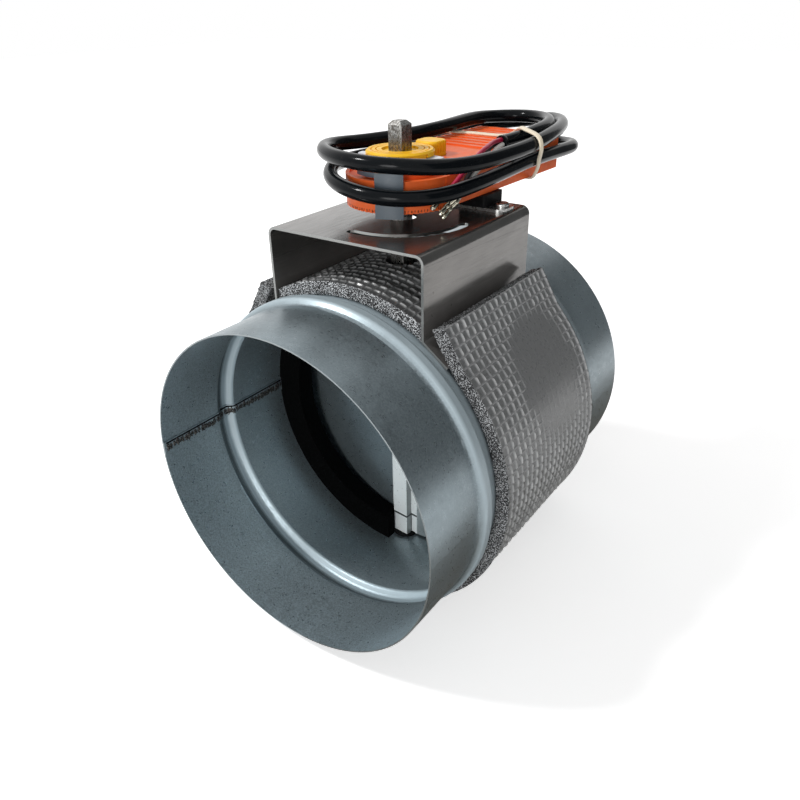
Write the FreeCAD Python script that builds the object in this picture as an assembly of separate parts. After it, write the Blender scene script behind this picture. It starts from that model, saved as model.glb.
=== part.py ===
"""Round duct damper, nominal 160 mm, with a rotary actuator on a sheet metal console.

The duct axis runs along +Y from the middle of the front rim, and +Z points up
along the damper shaft. The blade is modelled closed and then opened a little,
as it stands at rest. The actuator is modelled about the shaft and then turned
slightly on it.
"""
import os
from math import acos, atan2, cos, degrees, hypot, pi, radians, sin, sqrt, tan

import FreeCAD
import Part

V = FreeCAD.Vector
X_AXIS = V(1, 0, 0)
Y_AXIS = V(0, 1, 0)
Z_AXIS = V(0, 0, 1)
ORIGIN = V(0, 0, 0)

# Duct
DUCT_R = 79.5
DUCT_LENGTH = 192.5
DUCT_WALL = 0.6
BEAD_INSET = 42.0
BEAD_FOOT_WIDTH = 10.0
BEAD_CREST_WIDTH = 5.0
BEAD_HEIGHT = 2.8
BEAD_SETBACK = 0.95
LAP_ANGLE = 177.0
LAP_WIDTH = 7.0

# Shaft, bushes and blade
SHAFT_SIDE = 8.0
SHAFT_CORNER = 0.6
SHAFT_TOP = 148.7
SHAFT_END_CHAMFER = 1.9
REST_OPENING = 6.0
BLADE_SHEET = 0.8
BLADE_GAP = 1.3
BUSH_R = 6.4
BUSH_FLANGE_R = 7.4
BUSH_FLANGE = 1.2
BUSH_COLLAR = 1.2
BUSH_COLLAR_OUT = 1.6
SEAL_WIDTH = 11.0
SEAL_DEPTH = 14.5
SLEEVE_GAP = 0.3

# Insulation
FOAM = 6.6
FOAM_START = 51.8
FOAM_END = 143.7
FLAP_LIFT = 8.3
FLAP_GAP = 3.2
FLAP_ANGLE = 44.0
FLAP_TILT = 22.0

# Console bracket
BRACKET_WIDTH = 84.8
BRACKET_RISE = 26.55
BRACKET_SHEET = 1.2
BRACKET_START = 51.1
BRACKET_END = 144.4
BRACKET_BEND = 4.0
FOOT_LENGTH = 14.0
BRACKET_HOLE_R = 7.5
SLOT_R = 32.3
SLOT_WIDTH = 5.0
SLOT_FROM = -97.0
SLOT_TO = 6.0
RIVET_R = 1.6
RIVET_HEAD_R = 3.2
RIVET_HEAD = 0.9
RIVET_TAIL = 1.4
RIVET_INSET = 10.0
RIVET_GRIP = 8.0

# Actuator housing, about the shaft with its tail along +Y
ACTUATOR_TURN = -2.5
NOSE_R = 25.0
TAIL_STEP = 0.2
TAIL_REACH = 106.5
TAIL_CORNER = 1.8
BASE_HEIGHT = 5.0
COVER_HEIGHT = 12.3
RIM_DROP = 3.4
LEDGE_DROP = 1.0
HOUSING_WALL = 1.6
TOP_EDGE_R = 1.0
BOSS_LIP = 1.6
RIM_WIDTH = 1.8
SHOULDER_Y = 8.0
HUB_R = 9.0
NOTCH_STEP = 6.0
NOTCH_WIDTH = 1.1
NOTCH_DEPTH = 0.6
RIB_START = 47.0
RIB_PITCH = 6.4
RIB_WIDTH = 3.2
RIB_HEIGHT = 0.8
RIB_MARGIN = 3.6
SCREW_BOSS_R = 3.0
SCREW_BOSS_GAP = 1.0
SCREW_R = 1.25
SCREW_HEAD_R = 2.4
SCREW_HEAD = 1.3
SCREW_SLOT = 0.6
SCREW_LENGTH = 12.0
FRONT_SCREW_Y = 53.0
REAR_SCREW_INSET = 7.0

# What sits on the housing
RING_R = 15.6
RING_GAP = 1.0
RING_HEIGHT = 5.1
RING_EDGE = 0.8
RING_STEP = 1.3
RING_GROOVE = 0.6
RING_GROOVE_PITCH = 2.2
RING_GROOVES = 2
RING_RECESS_R = 8.4
RING_RECESS = 1.0
GRIP_WIDTH = 1.2
GRIP_DEPTH = 0.7
SHAFT_STAND = 12.0
POINTER_LIFT = 1.0
POINTER_SHEET = 1.2
POINTER_REACH = 20.6
POINTER_WIDTH = 8.0
POINTER_TAPER = 0.5
POINTER_TURN = 15.1
BUTTON_X = 0.9
BUTTON_WIDTH = 12.8
BUTTON_DEPTH = 12.4
BUTTON_STAND = 6.7
BUTTON_CORNER = 4.2
BUTTON_EDGE = 1.0
BUTTON_TRAVEL = 2.0
BUTTON_WALL = 1.4
BUTTON_PIN_R = 1.7
BUTTON_GRIP_PITCH = 1.5
BUTTON_GRIP_WIDTH = 0.7
BUTTON_GRIP_DEPTH = 0.6
SPRING_R = 2.5
CLIP_SHEET = 1.5
CLIP_WIDTH = 12.7
CLIP_ANGLE = -66.0
CLIP_DROP = 1.7
CLIP_LIFT = 0.3
CLIP_FOOT = 2.5
CLIP_ARM_GAP = 0.5
CLIP_ARM_WIDTH = 3.2
CLIP_ARM_FROM = -122.0
CLIP_ARM_TO = -54.0

# Gear train
GEAR_BACKLASH = 0.16
OUTPUT_MODULE = 0.9
OUTPUT_TEETH = 40
WHEEL_MODULE = 0.7
WHEEL_TEETH = 28
PINION_TEETH = 10
CENTRE_SLACK = 0.08
GEAR_LIFT = 0.5
OUTPUT_GEAR_HEIGHT = 3.0
LAYER_GAP = 0.3
WHEEL_HEIGHT = 2.2
SECOND_GEAR_X = -12.5
FIRST_GEAR_SHIFT = 7.5
MOTOR_SHIFT = 3.0
AXLE_R = 1.2
MOTOR_R = 8.3
MOTOR_EDGE_R = 0.8
MOTOR_SHAFT_R = 0.9

# Board, support, gland
BOARD_LIFT = 1.7
BOARD_SHEET = 1.6
BOARD_FROM = 56.0
BOARD_GAP = 1.1
BOARD_END_GAP = 4.0
STAND_R = 2.0
STAND_INSET = 4.0
TERMINAL_WIDTH = 16.0
TERMINAL_DEPTH = 9.0
TERMINAL_HEIGHT = 5.2
RELAY_WIDTH = 10.0
RELAY_DEPTH = 14.0
RELAY_HEIGHT = 7.0
CAPACITOR_R = 3.2
CAPACITOR_HEIGHT = 8.0
CAPACITOR_PITCH = 9.0
STRAP_SHEET = 1.5
STRAP_LENGTH = 52.0
STRAP_WIDTH = 14.5
SUPPORT_INSET = 4.8
SUPPORT_Y = 36.7
BLOCK_WIDTH = 15.0
BLOCK_DEPTH = 16.5
BLOCK_HEIGHT = 5.75
BLOCK_CORNER = 1.4
SUPPORT_PIN_R = 2.0
STRAP_SCREW_REACH = 11.8
STRAP_SCREW_R = 2.0
STRAP_SCREW_HEAD_R = 3.6
STRAP_SCREW_HEAD = 1.8
STRAP_SCREW_TAIL = 3.0
STRAP_SCREW_SLOT = 0.9
GLAND_X = -9.6
GLAND_RISE = 9.1
GLAND_R = 4.6
GLAND_LENGTH = 7.0
GLAND_TAPER = 0.9

# Fits
RUNNING_FIT = 0.08
CLEARANCE = 0.3
SEAT = 0.05

# Flexible parts
CABLE_D = 5.8
CORE_D = 2.2
FERRULE_D = 2.5
FERRULE_LENGTH = 12.0
FERRULE_COLLAR = 2.4
BAND_D = 1.4
ARC_SHARE = 0.45

# Worked out from the values above
SHAFT_Y = DUCT_LENGTH / 2
DUCT_INNER = DUCT_R - DUCT_WALL
BLADE_R = DUCT_INNER - BLADE_GAP
SEAL_INNER = DUCT_INNER - SEAL_DEPTH
CHANNEL_HALF = SHAFT_SIDE / 2 + BLADE_SHEET
SWEEP_R = CHANNEL_HALF * sqrt(2) + CLEARANCE
FLANGE_Z = sqrt(DUCT_INNER ** 2 - BUSH_FLANGE_R ** 2) - CLEARANCE
HALF_WIDTH = BRACKET_WIDTH / 2
FOAM_R = DUCT_R + SEAT
BRACKET_TOP = DUCT_R + BRACKET_RISE
STRAP_TOP = BRACKET_TOP + STRAP_SHEET
HOUSING_BOTTOM = STRAP_TOP + BLOCK_HEIGHT
FLOOR_Z = HOUSING_BOTTOM + HOUSING_WALL
SPLIT_Z = HOUSING_BOTTOM + BASE_HEIGHT
HOUSING_TOP = SPLIT_Z + COVER_HEIGHT
RIM_Z = HOUSING_TOP - RIM_DROP
RING_BOTTOM = HOUSING_TOP + RING_GAP
RING_TOP = RING_BOTTOM + RING_HEIGHT
SHAFT_TOP = RING_TOP + SHAFT_STAND
POINTER_Z = RING_BOTTOM + POINTER_LIFT
BUTTON_TOP = HOUSING_TOP + BUTTON_STAND
BUTTON_Y = RING_R + 2 * CLEARANCE + BUTTON_DEPTH / 2
TAIL_HALF = NOSE_R + TAIL_STEP
BOSS_R = RING_R + BOSS_LIP
SCREW_X = TAIL_HALF - HOUSING_WALL - SCREW_BOSS_R - SCREW_BOSS_GAP
SCREW_Y = (FRONT_SCREW_Y, TAIL_REACH - REAR_SCREW_INSET)
RIB_COUNT = int((TAIL_REACH - RIB_MARGIN - RIB_WIDTH - RIB_START) / RIB_PITCH) + 1
GEAR_Z = FLOOR_Z + GEAR_LIFT
GEAR_TOP_A = GEAR_Z + OUTPUT_GEAR_HEIGHT
LAYER_B = GEAR_TOP_A + LAYER_GAP
LAYER_C = LAYER_B + WHEEL_HEIGHT + LAYER_GAP
GEAR_TOP_C = LAYER_C + WHEEL_HEIGHT
OUTPUT_DISTANCE = OUTPUT_MODULE * (OUTPUT_TEETH + PINION_TEETH) / 2 + CENTRE_SLACK
WHEEL_DISTANCE = WHEEL_MODULE * (WHEEL_TEETH + PINION_TEETH) / 2 + CENTRE_SLACK
SECOND_GEAR = V(SECOND_GEAR_X, sqrt(OUTPUT_DISTANCE ** 2 - SECOND_GEAR_X ** 2), 0)
FIRST_GEAR = SECOND_GEAR + V(FIRST_GEAR_SHIFT, sqrt(WHEEL_DISTANCE ** 2 - FIRST_GEAR_SHIFT ** 2), 0)
MOTOR = FIRST_GEAR + V(MOTOR_SHIFT, sqrt(WHEEL_DISTANCE ** 2 - MOTOR_SHIFT ** 2), 0)
POCKET_FLOOR = GEAR_TOP_C + CLEARANCE
BUTTON_PIN_X = BUTTON_X + BUTTON_WIDTH / 2 - BUTTON_CORNER
BUTTON_PIN_Y = BUTTON_Y - BUTTON_DEPTH / 2 + BUTTON_CORNER
CLIP_BOTTOM = HOUSING_BOTTOM - CLIP_DROP
CLIP_TOP = HOUSING_TOP + CLIP_LIFT
CLIP_ARM_R = BOSS_R + CLIP_ARM_GAP + CLIP_ARM_WIDTH
SUPPORT_X = TAIL_HALF - SUPPORT_INSET
BOARD_Z = FLOOR_Z + BOARD_LIFT
BOARD_WIDTH = 2 * (SCREW_X - SCREW_BOSS_R - BOARD_GAP)
GLAND_Z = HOUSING_BOTTOM + GLAND_RISE

# Hand-chosen routes, in the frame of the whole part
CABLE_ROUTE = [
    (-4.95, 203.0, 122.4), (-4.4, 215.5, 122.4), (0.8, 227.4, 122.5), (9.0, 232.5, 122.7),
    (20.0, 231.0, 123.2), (28.5, 223.5, 124.0), (33.0, 212.5, 124.7), (34.2, 199.0, 124.9),
    (34.6, 184.0, 124.4), (35.2, 168.0, 123.4), (35.6, 151.0, 122.5), (35.4, 134.0, 121.7),
    (35.4, 117.0, 121.2), (34.8, 101.5, 121.2), (31.5, 87.0, 121.9), (24.0, 75.0, 123.0),
    (12.0, 66.8, 123.8), (-3.0, 64.2, 123.9), (-18.0, 67.8, 123.8), (-31.0, 76.5, 124.0),
    (-40.0, 88.0, 124.3), (-43.0, 101.0, 124.6), (-39.5, 114.0, 124.9), (-33.8, 127.0, 125.1),
    (-30.6, 142.0, 125.4), (-29.3, 158.0, 125.9), (-28.2, 174.0, 126.8), (-27.2, 190.0, 128.2),
    (-25.0, 205.5, 130.0), (-19.0, 220.0, 132.0), (-9.0, 231.0, 133.7), (4.0, 235.8, 134.9),
    (17.0, 232.0, 135.5), (27.5, 221.5, 135.6), (33.5, 207.5, 135.5), (37.5, 192.0, 135.3),
    (40.6, 176.0, 135.2), (42.4, 159.0, 135.2), (42.2, 142.0, 135.2), (40.6, 126.0, 135.3),
    (38.0, 110.5, 135.4), (34.5, 95.5, 135.5), (28.5, 81.5, 135.6), (18.5, 70.5, 135.5),
    (5.0, 64.8, 135.2), (-9.5, 64.6, 135.0), (-23.0, 70.5, 135.1), (-34.5, 79.8, 135.3),
    (-42.5, 91.0, 135.4), (-43.6, 103.0, 135.3), (-38.5, 114.5, 135.1), (-30.5, 125.5, 135.0),
    (-23.2, 137.0, 135.2), (-18.6, 150.0, 135.6), (-17.2, 165.0, 136.1), (-17.8, 180.5, 136.5),
    (-18.4, 195.0, 136.8), (-15.0, 208.5, 137.0), (-5.5, 217.8, 137.2), (7.0, 218.6, 137.2),
    (18.0, 211.8, 137.0), (25.2, 200.5, 136.5), (29.0, 187.5, 135.8), (29.9, 174.0, 135.2),
    (28.8, 161.5, 134.8), (26.6, 151.0, 134.7), (24.6, 142.5, 134.7),
]
CORE_ROUTES = {
    "core_red": [(24.56, 142.3, 136.02), (24.0, 137.2, 136.1), (25.9, 129.5, 135.3), (27.9, 120.5, 134.2),
                 (28.7, 111.5, 131.2), (28.7, 103.5, 127.6), (28.2, 97.6, 124.2), (27.4, 93.4, 121.7)],
    "core_black": [(23.45, 142.58, 134.04), (22.7, 137.3, 133.9), (25.2, 130.0, 132.9), (27.3, 122.5, 131.9),
                   (28.4, 114.0, 128.6), (28.9, 106.5, 125.0), (29.5, 101.2, 121.0), (29.2, 96.0, 118.6)],
    "core_white": [(25.63, 141.9, 134.04), (25.5, 136.8, 133.3), (27.4, 130.5, 131.6), (28.5, 123.0, 129.4),
                   (28.9, 116.0, 126.8), (28.8, 109.5, 123.4), (28.4, 105.5, 119.4), (28.1, 99.6, 116.4)],
}
BAND_LOOP = [
    (29.9, 172.0, 111.9), (34.4, 164.6, 115.6), (39.0, 158.4, 119.6), (41.2, 154.0, 124.8),
    (46.7, 148.6, 131.6), (46.4, 147.4, 137.0), (42.6, 149.0, 139.9), (34.0, 154.4, 139.7),
    (26.4, 160.6, 138.6), (19.0, 167.0, 134.2), (11.0, 171.4, 132.35), (-8.0, 173.4, 132.35),
    (-19.0, 170.8, 132.35), (-26.8, 167.4, 131.6), (-32.9, 165.4, 128.6), (-32.7, 165.8, 122.6),
    (-28.4, 168.6, 116.8), (-23.4, 171.8, 112.0), (-12.0, 173.0, 112.3), (8.0, 173.4, 112.3),
]


def polar(radius, angle, z=0.0):
    """Point on a circle about Z, at an angle in degrees."""
    return V(radius * cos(radians(angle)), radius * sin(radians(angle)), z)


def cylinder(radius, z_from, z_to, x=0.0, y=0.0):
    return Part.makeCylinder(radius, z_to - z_from, V(x, y, z_from))


def box(x_from, x_to, y_from, y_to, z_from, z_to):
    return Part.makeBox(x_to - x_from, y_to - y_from, z_to - z_from, V(x_from, y_from, z_from))


def centred_box(x, y, width, depth, z_from, z_to):
    return box(x - width / 2, x + width / 2, y - depth / 2, y + depth / 2, z_from, z_to)


def prism(points, direction):
    """Closed polygon swept along a straight direction."""
    return Part.Face(Part.makePolygon(points + [points[0]])).extrude(direction)


def ring(outer, inner, z_from, z_to):
    return cylinder(outer, z_from, z_to).cut(cylinder(inner, z_from - 1, z_to + 1))


def arc_sector(outer, inner, z_from, z_to, angle_from, angle_to):
    """Piece of a ring between two angles about Z."""
    corners = [polar(inner, angle_from, z_from), polar(outer, angle_from, z_from)]
    middle = (angle_from + angle_to) / 2
    outer_arc = Part.Arc(corners[1], polar(outer, middle, z_from), polar(outer, angle_to, z_from))
    inner_arc = Part.Arc(polar(inner, angle_to, z_from), polar(inner, middle, z_from), corners[0])
    edges = [Part.makeLine(*corners), outer_arc.toShape(),
             Part.makeLine(polar(outer, angle_to, z_from), polar(inner, angle_to, z_from)),
             inner_arc.toShape()]
    return Part.Face(Part.Wire(edges)).extrude(V(0, 0, z_to - z_from))


def bend(before, here, after, setback):
    """Arc tangent to both runs at a corner: its first, middle and last point and its radius."""
    towards = (before - here).normalize()
    onwards = (after - here).normalize()
    turn = pi - towards.getAngle(onwards)
    radius = setback / tan(turn / 2)
    middle = here + (towards + onwards).normalize() * (radius / cos(turn / 2) - radius)
    return here + towards * setback, middle, here + onwards * setback, radius


def round_edges(shape, radius, wanted):
    """Fillet the edges that the test picks."""
    edges = [edge for edge in shape.Edges if wanted(edge)]
    return shape.makeFillet(radius, edges) if edges else shape


def is_vertical(edge):
    ends = [vertex.Point for vertex in edge.Vertexes]
    return len(ends) == 2 and hypot(ends[0].x - ends[1].x, ends[0].y - ends[1].y) < 1e-6


def lies_at(edge, z):
    return abs(edge.BoundBox.ZMin - z) < 1e-6 and abs(edge.BoundBox.ZMax - z) < 1e-6


def on_duct(shape):
    """From the shaft's own frame to the part's frame."""
    return shape.translated(V(0, SHAFT_Y, 0))


def on_actuator(shape):
    """From the actuator's frame to the part's frame."""
    return on_duct(shape.rotated(ORIGIN, Z_AXIS, ACTUATOR_TURN))


def at_rest(shape):
    """Opens the closed blade and what turns with it to its rest position."""
    return on_duct(shape.rotated(ORIGIN, Z_AXIS, -REST_OPENING))


# Duct

def duct_line(offset):
    """Half section of the duct wall at a distance from its outer face, as (y, r) points."""
    slope = (BEAD_FOOT_WIDTH - BEAD_CREST_WIDTH) / 2
    points = [(0, DUCT_R - offset)]
    for centre in (BEAD_INSET, DUCT_LENGTH - BEAD_INSET):
        points += [(centre - BEAD_CREST_WIDTH / 2 - slope, DUCT_R - offset),
                   (centre - BEAD_CREST_WIDTH / 2, DUCT_R + BEAD_HEIGHT - offset),
                   (centre + BEAD_CREST_WIDTH / 2, DUCT_R + BEAD_HEIGHT - offset),
                   (centre + BEAD_CREST_WIDTH / 2 + slope, DUCT_R - offset)]
    return points + [(DUCT_LENGTH, DUCT_R - offset)]


def duct_edges(offset):
    """Edges of the half section, with the beads' corners rounded."""
    corners = [V(radius, y, 0) for y, radius in duct_line(offset)]
    edges = []
    start = corners[0]
    for before, here, after in zip(corners, corners[1:], corners[2:]):
        first, middle, last, _ = bend(before, here, after, BEAD_SETBACK)
        edges += [Part.makeLine(start, first), Part.Arc(first, middle, last).toShape()]
        start = last
    return corners, edges + [Part.makeLine(start, corners[-1])]


def revolved_wall(outer_offset, inner_offset, angle_from, sweep):
    """Duct wall between two offsets, over part of a turn about the duct axis."""
    outer, outer_edges = duct_edges(outer_offset)
    inner, inner_edges = duct_edges(inner_offset)
    rims = [Part.makeLine(outer[index], inner[index]) for index in (0, -1)]
    face = Part.Face(Part.Wire(Part.__sortEdges__(outer_edges + inner_edges + rims)))
    return face.rotated(ORIGIN, Y_AXIS, -angle_from).revolve(ORIGIN, Y_AXIS, -sweep)


def rivet_seats():
    """Middle of each rivet head's seat on the feet, with the outward direction there."""
    for side in (1, -1):
        normal = foot_normal(side)
        for y in (BRACKET_START + RIVET_INSET, BRACKET_END - RIVET_INSET):
            yield V(0, y, 0) + normal * (DUCT_R + SEAT), normal


def rivet_holes():
    return [Part.makeCylinder(RIVET_R, RIVET_GRIP, seat - normal * (RIVET_GRIP / 2), normal)
            for seat, normal in rivet_seats()]


def duct_body():
    body = revolved_wall(0, DUCT_WALL, 0, 360)
    lap_turn = degrees(LAP_WIDTH / DUCT_INNER)
    body = body.fuse(revolved_wall(DUCT_WALL, 2 * DUCT_WALL, LAP_ANGLE, lap_turn))
    body = body.cut(on_duct(cylinder(BUSH_R + RUNNING_FIT, -2 * DUCT_R, 2 * DUCT_R)))
    for hole in rivet_holes():
        body = body.cut(hole)
    return body


# Insulation

def foam_section():
    """Section of the wrap with both ends lifted by the bracket's feet."""
    tip_x = HALF_WIDTH + FLAP_GAP
    tip = V(tip_x, 0, sqrt((DUCT_R + FLAP_LIFT) ** 2 - tip_x ** 2))
    outer_tip = tip + V(cos(radians(FLAP_TILT)), 0, sin(radians(FLAP_TILT))) * FOAM
    start = V(FOAM_R * cos(radians(FLAP_ANGLE)), 0, FOAM_R * sin(radians(FLAP_ANGLE)))
    outer_start = start * ((DUCT_R + FOAM) / FOAM_R)

    def mirrored(point):
        return V(-point.x, 0, point.z)

    edges = [Part.Arc(start, V(0, 0, -FOAM_R), mirrored(start)).toShape(),
             Part.makeLine(mirrored(start), mirrored(tip)),
             Part.makeLine(mirrored(tip), mirrored(outer_tip)),
             Part.makeLine(mirrored(outer_tip), mirrored(outer_start)),
             Part.Arc(mirrored(outer_start), V(0, 0, -DUCT_R - FOAM), outer_start).toShape(),
             Part.makeLine(outer_start, outer_tip),
             Part.makeLine(outer_tip, tip),
             Part.makeLine(tip, start)]
    return Part.Face(Part.Wire(edges))


def insulation_wrap():
    wrap = foam_section().extrude(V(0, FOAM_END - FOAM_START, 0)).translated(V(0, FOAM_START, 0))
    pocket = cylinder(BUSH_COLLAR_OUT + BUSH_R, -DUCT_R - FOAM + 1.5, -DUCT_R + 5)
    wrap = wrap.cut(on_duct(pocket))
    relief = bracket_section(BRACKET_SHEET + SEAT, BRACKET_WIDTH + SEAT)
    relief = relief.extrude(V(0, FOAM_END - FOAM_START + 2, 0)).translated(V(0, FOAM_START - 1, 0))
    wrap = wrap.cut(relief)
    for seat, normal in rivet_seats():
        height = BRACKET_SHEET + RIVET_HEAD + CLEARANCE
        wrap = wrap.cut(Part.makeCylinder(RIVET_HEAD_R + CLEARANCE, height, seat, normal))
    return max(wrap.Solids, key=lambda solid: solid.Volume)


def insulation_strip():
    length = FOAM_END - FOAM_START
    outer = Part.makeCylinder(DUCT_R + FOAM, length, V(0, FOAM_START, 0), Y_AXIS)
    inner = Part.makeCylinder(FOAM_R, length, V(0, FOAM_START, 0), Y_AXIS)
    half = HALF_WIDTH - BRACKET_SHEET - CLEARANCE
    strip = outer.cut(inner).common(box(-half, half, FOAM_START, FOAM_END, 0, DUCT_R + FOAM))
    hole = cylinder(BUSH_R + BUSH_COLLAR_OUT, DUCT_R - 5, DUCT_R + FOAM + 1)
    return strip.cut(on_duct(hole))


# Bracket

def foot_normal(side):
    """Direction from the duct axis to the middle of a foot."""
    bend = acos(HALF_WIDTH / DUCT_R)
    middle = bend - FOOT_LENGTH / 2 / DUCT_R
    return V(side * cos(middle), 0, sin(middle))


def bracket_section(sheet, width):
    """Section of the console: top, two legs and two feet along the duct."""
    normal = foot_normal(1)
    along = V(normal.z, 0, -normal.x)
    seat = normal * (DUCT_R + SEAT)
    half = width / 2
    inner_x = HALF_WIDTH - BRACKET_SHEET

    def on_foot(x, lift):
        base = seat + normal * lift
        return base + along * ((x - base.x) / along.x)

    lower_end = seat + along * (FOOT_LENGTH / 2)
    right = [V(half, 0, BRACKET_TOP), on_foot(half, sheet), lower_end + normal * sheet, lower_end,
             on_foot(inner_x, 0), V(inner_x, 0, BRACKET_TOP - BRACKET_SHEET)]
    left = [V(-point.x, 0, point.z) for point in right]
    outline = right + left[::-1]
    return Part.Face(Part.makePolygon(outline + [outline[0]]))


def arc_slot(radius, width, angle_from, angle_to, z_from, z_to):
    """Arc-shaped slot with round ends, as a cutter about Z."""
    slot = arc_sector(radius + width / 2, radius - width / 2, z_from, z_to, angle_from, angle_to)
    for angle in (angle_from, angle_to):
        end = polar(radius, angle)
        slot = slot.fuse(cylinder(width / 2, z_from, z_to, end.x, end.y))
    return slot


def bracket():
    length = BRACKET_END - BRACKET_START
    console = bracket_section(BRACKET_SHEET, BRACKET_WIDTH).extrude(V(0, length, 0))
    console = console.translated(V(0, BRACKET_START, 0))

    def bend_at(half, z):
        def wanted(edge):
            bounds = edge.BoundBox
            return (bounds.YLength > length - 1 and abs(abs(bounds.XMin) - half) < 1e-6
                    and abs(bounds.ZMin - z) < 1e-6)
        return wanted

    console = round_edges(console, BRACKET_BEND, bend_at(HALF_WIDTH, BRACKET_TOP))
    console = round_edges(console, BRACKET_BEND - BRACKET_SHEET,
                          bend_at(HALF_WIDTH - BRACKET_SHEET, BRACKET_TOP - BRACKET_SHEET))
    low, high = BRACKET_TOP - 2 * BRACKET_SHEET, BRACKET_TOP + 1
    cuts = [on_duct(cylinder(BRACKET_HOLE_R, low, high)),
            on_duct(arc_slot(SLOT_R, SLOT_WIDTH, SLOT_FROM, SLOT_TO, low, high))]
    cuts += [on_actuator(cylinder(STRAP_SCREW_R + SEAT, low, high, place.x, place.y))
             for place in strap_screw_places()]
    for cut in cuts + rivet_holes():
        console = console.cut(cut)
    return console


def bracket_rivets():
    """Blind rivets through the feet and the duct wall."""
    rivets = []
    for seat, normal in rivet_seats():
        head_seat = seat + normal * BRACKET_SHEET
        body = Part.makeCylinder(RIVET_R, BRACKET_SHEET + DUCT_WALL + 2 * SEAT, head_seat, -normal)
        head = Part.makeCone(RIVET_HEAD_R, RIVET_HEAD_R * 0.6, RIVET_HEAD, head_seat, normal)
        tail_seat = seat - normal * (DUCT_WALL + 2 * SEAT)
        tail = Part.makeCone(RIVET_R * 1.3, RIVET_R, RIVET_TAIL, tail_seat, -normal)
        rivets.append(body.fuse([head, tail]).removeSplitter())
    return Part.makeCompound(rivets)


# Shaft and blade

def square_bar(side, corner, z_from, z_to):
    bar = centred_box(0, 0, side, side, z_from, z_to)
    return bar.makeChamfer(corner, [edge for edge in bar.Edges if is_vertical(edge)])


def shaft_bar():
    """Square bar with its top edges sawn off at 45 degrees."""
    bar = square_bar(SHAFT_SIDE, SHAFT_CORNER, -FLANGE_Z - BUSH_FLANGE, SHAFT_TOP)
    half = SHAFT_SIDE / 2
    start = half - SHAFT_END_CHAMFER
    wedge = prism([V(start, -SHAFT_SIDE, SHAFT_TOP), V(SHAFT_SIDE, -SHAFT_SIDE, SHAFT_TOP),
                   V(SHAFT_SIDE, -SHAFT_SIDE, SHAFT_TOP - SHAFT_SIDE + start)], V(0, 2 * SHAFT_SIDE, 0))
    for angle in (0, 90, 180, 270):
        bar = bar.cut(wedge.rotated(ORIGIN, Z_AXIS, angle))
    return bar


def damper_shaft():
    return at_rest(shaft_bar())


def blade_sheet(side):
    """Half of the blade: a disc with a pressed channel over the shaft, on side -1 or +1 of Y."""
    disc = Part.makeCylinder(BLADE_R, BLADE_SHEET, ORIGIN, V(0, side, 0))

    def channel(half, length):
        points = [V(-half, 0, -length), V(-half, side * half, -length), V(half, side * half, -length),
                  V(half, 0, -length)]
        return prism(points, V(0, 0, 2 * length))

    sheet = disc.fuse(channel(CHANNEL_HALF, SEAL_INNER))
    sheet = sheet.cut(channel(SHAFT_SIDE / 2, DUCT_R))
    relief = CHANNEL_HALF + SLEEVE_GAP
    for end in (1, -1):
        low, high = sorted((end * SEAL_INNER, end * DUCT_R))
        sheet = sheet.cut(box(-relief, relief, -DUCT_R, DUCT_R, low, high))
        low, high = sorted((end * (FLANGE_Z - BUSH_FLANGE - SLEEVE_GAP), end * DUCT_R))
        sheet = sheet.cut(cylinder(BUSH_FLANGE_R + SLEEVE_GAP, low, high))
    return at_rest(sheet)


def shaft_sleeves():
    """Square sleeves that carry the pressed channel on to the bushes."""
    sleeves = []
    for end in (1, -1):
        low, high = sorted((end * (SEAL_INNER + SLEEVE_GAP), end * (FLANGE_Z - BUSH_FLANGE)))
        sleeve = centred_box(0, 0, 2 * CHANNEL_HALF, 2 * CHANNEL_HALF, low, high)
        sleeves.append(at_rest(sleeve.cut(shaft_bar())))
    return Part.makeCompound(sleeves)


def bush(end):
    """Bush that turns in the duct wall with the shaft, flanged inside and collared outside."""
    outer_z = DUCT_R + CLEARANCE
    span = sorted((end * (FLANGE_Z - BUSH_FLANGE), end * (outer_z + BUSH_COLLAR)))
    body = cylinder(BUSH_R, *span)
    body = body.fuse(cylinder(BUSH_FLANGE_R, *sorted((end * (FLANGE_Z - BUSH_FLANGE), end * FLANGE_Z))))
    body = body.fuse(cylinder(BUSH_FLANGE_R, *sorted((end * outer_z, end * (outer_z + BUSH_COLLAR)))))
    return at_rest(body.removeSplitter().cut(shaft_bar()))


def half_seal(side):
    """Half ring that the blade closes against, on side -1 (left, in front) or +1 (right, behind)."""
    near = CLEARANCE + BLADE_SHEET
    start = SHAFT_Y + side * near if side > 0 else SHAFT_Y - near - SEAL_WIDTH
    outer = Part.makeCylinder(DUCT_INNER, SEAL_WIDTH, V(0, start, 0), Y_AXIS)
    seal = outer.cut(Part.makeCylinder(SEAL_INNER, SEAL_WIDTH, V(0, start, 0), Y_AXIS))
    edge = SHAFT_SIDE / 2
    x_range = (edge, DUCT_R) if side > 0 else (-DUCT_R, -edge)
    seal = seal.common(box(*x_range, start, start + SEAL_WIDTH, -DUCT_R, DUCT_R))
    seal = seal.cut(on_duct(cylinder(max(SWEEP_R, BUSH_FLANGE_R + CLEARANCE), -DUCT_R, DUCT_R)))
    lap_turn = degrees(LAP_WIDTH / DUCT_INNER)
    lap = revolved_wall(DUCT_WALL, 2 * DUCT_WALL + SEAT, LAP_ANGLE - 0.5, lap_turn + 1)
    return seal.cut(lap)


# Actuator housing

def housing_outline(inset, z_from, z_to):
    """Nose and tail in plan, taken in by an inset."""
    nose = cylinder(NOSE_R - inset, z_from, z_to)
    tail = box(-TAIL_HALF + inset, TAIL_HALF - inset, 0, TAIL_REACH - inset, z_from, z_to)
    back = TAIL_REACH - inset
    if inset < TAIL_CORNER:
        tail = round_edges(tail, TAIL_CORNER - inset,
                           lambda edge: is_vertical(edge) and edge.BoundBox.YMax > back - 1)
    return nose.fuse(tail).removeSplitter()


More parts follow.
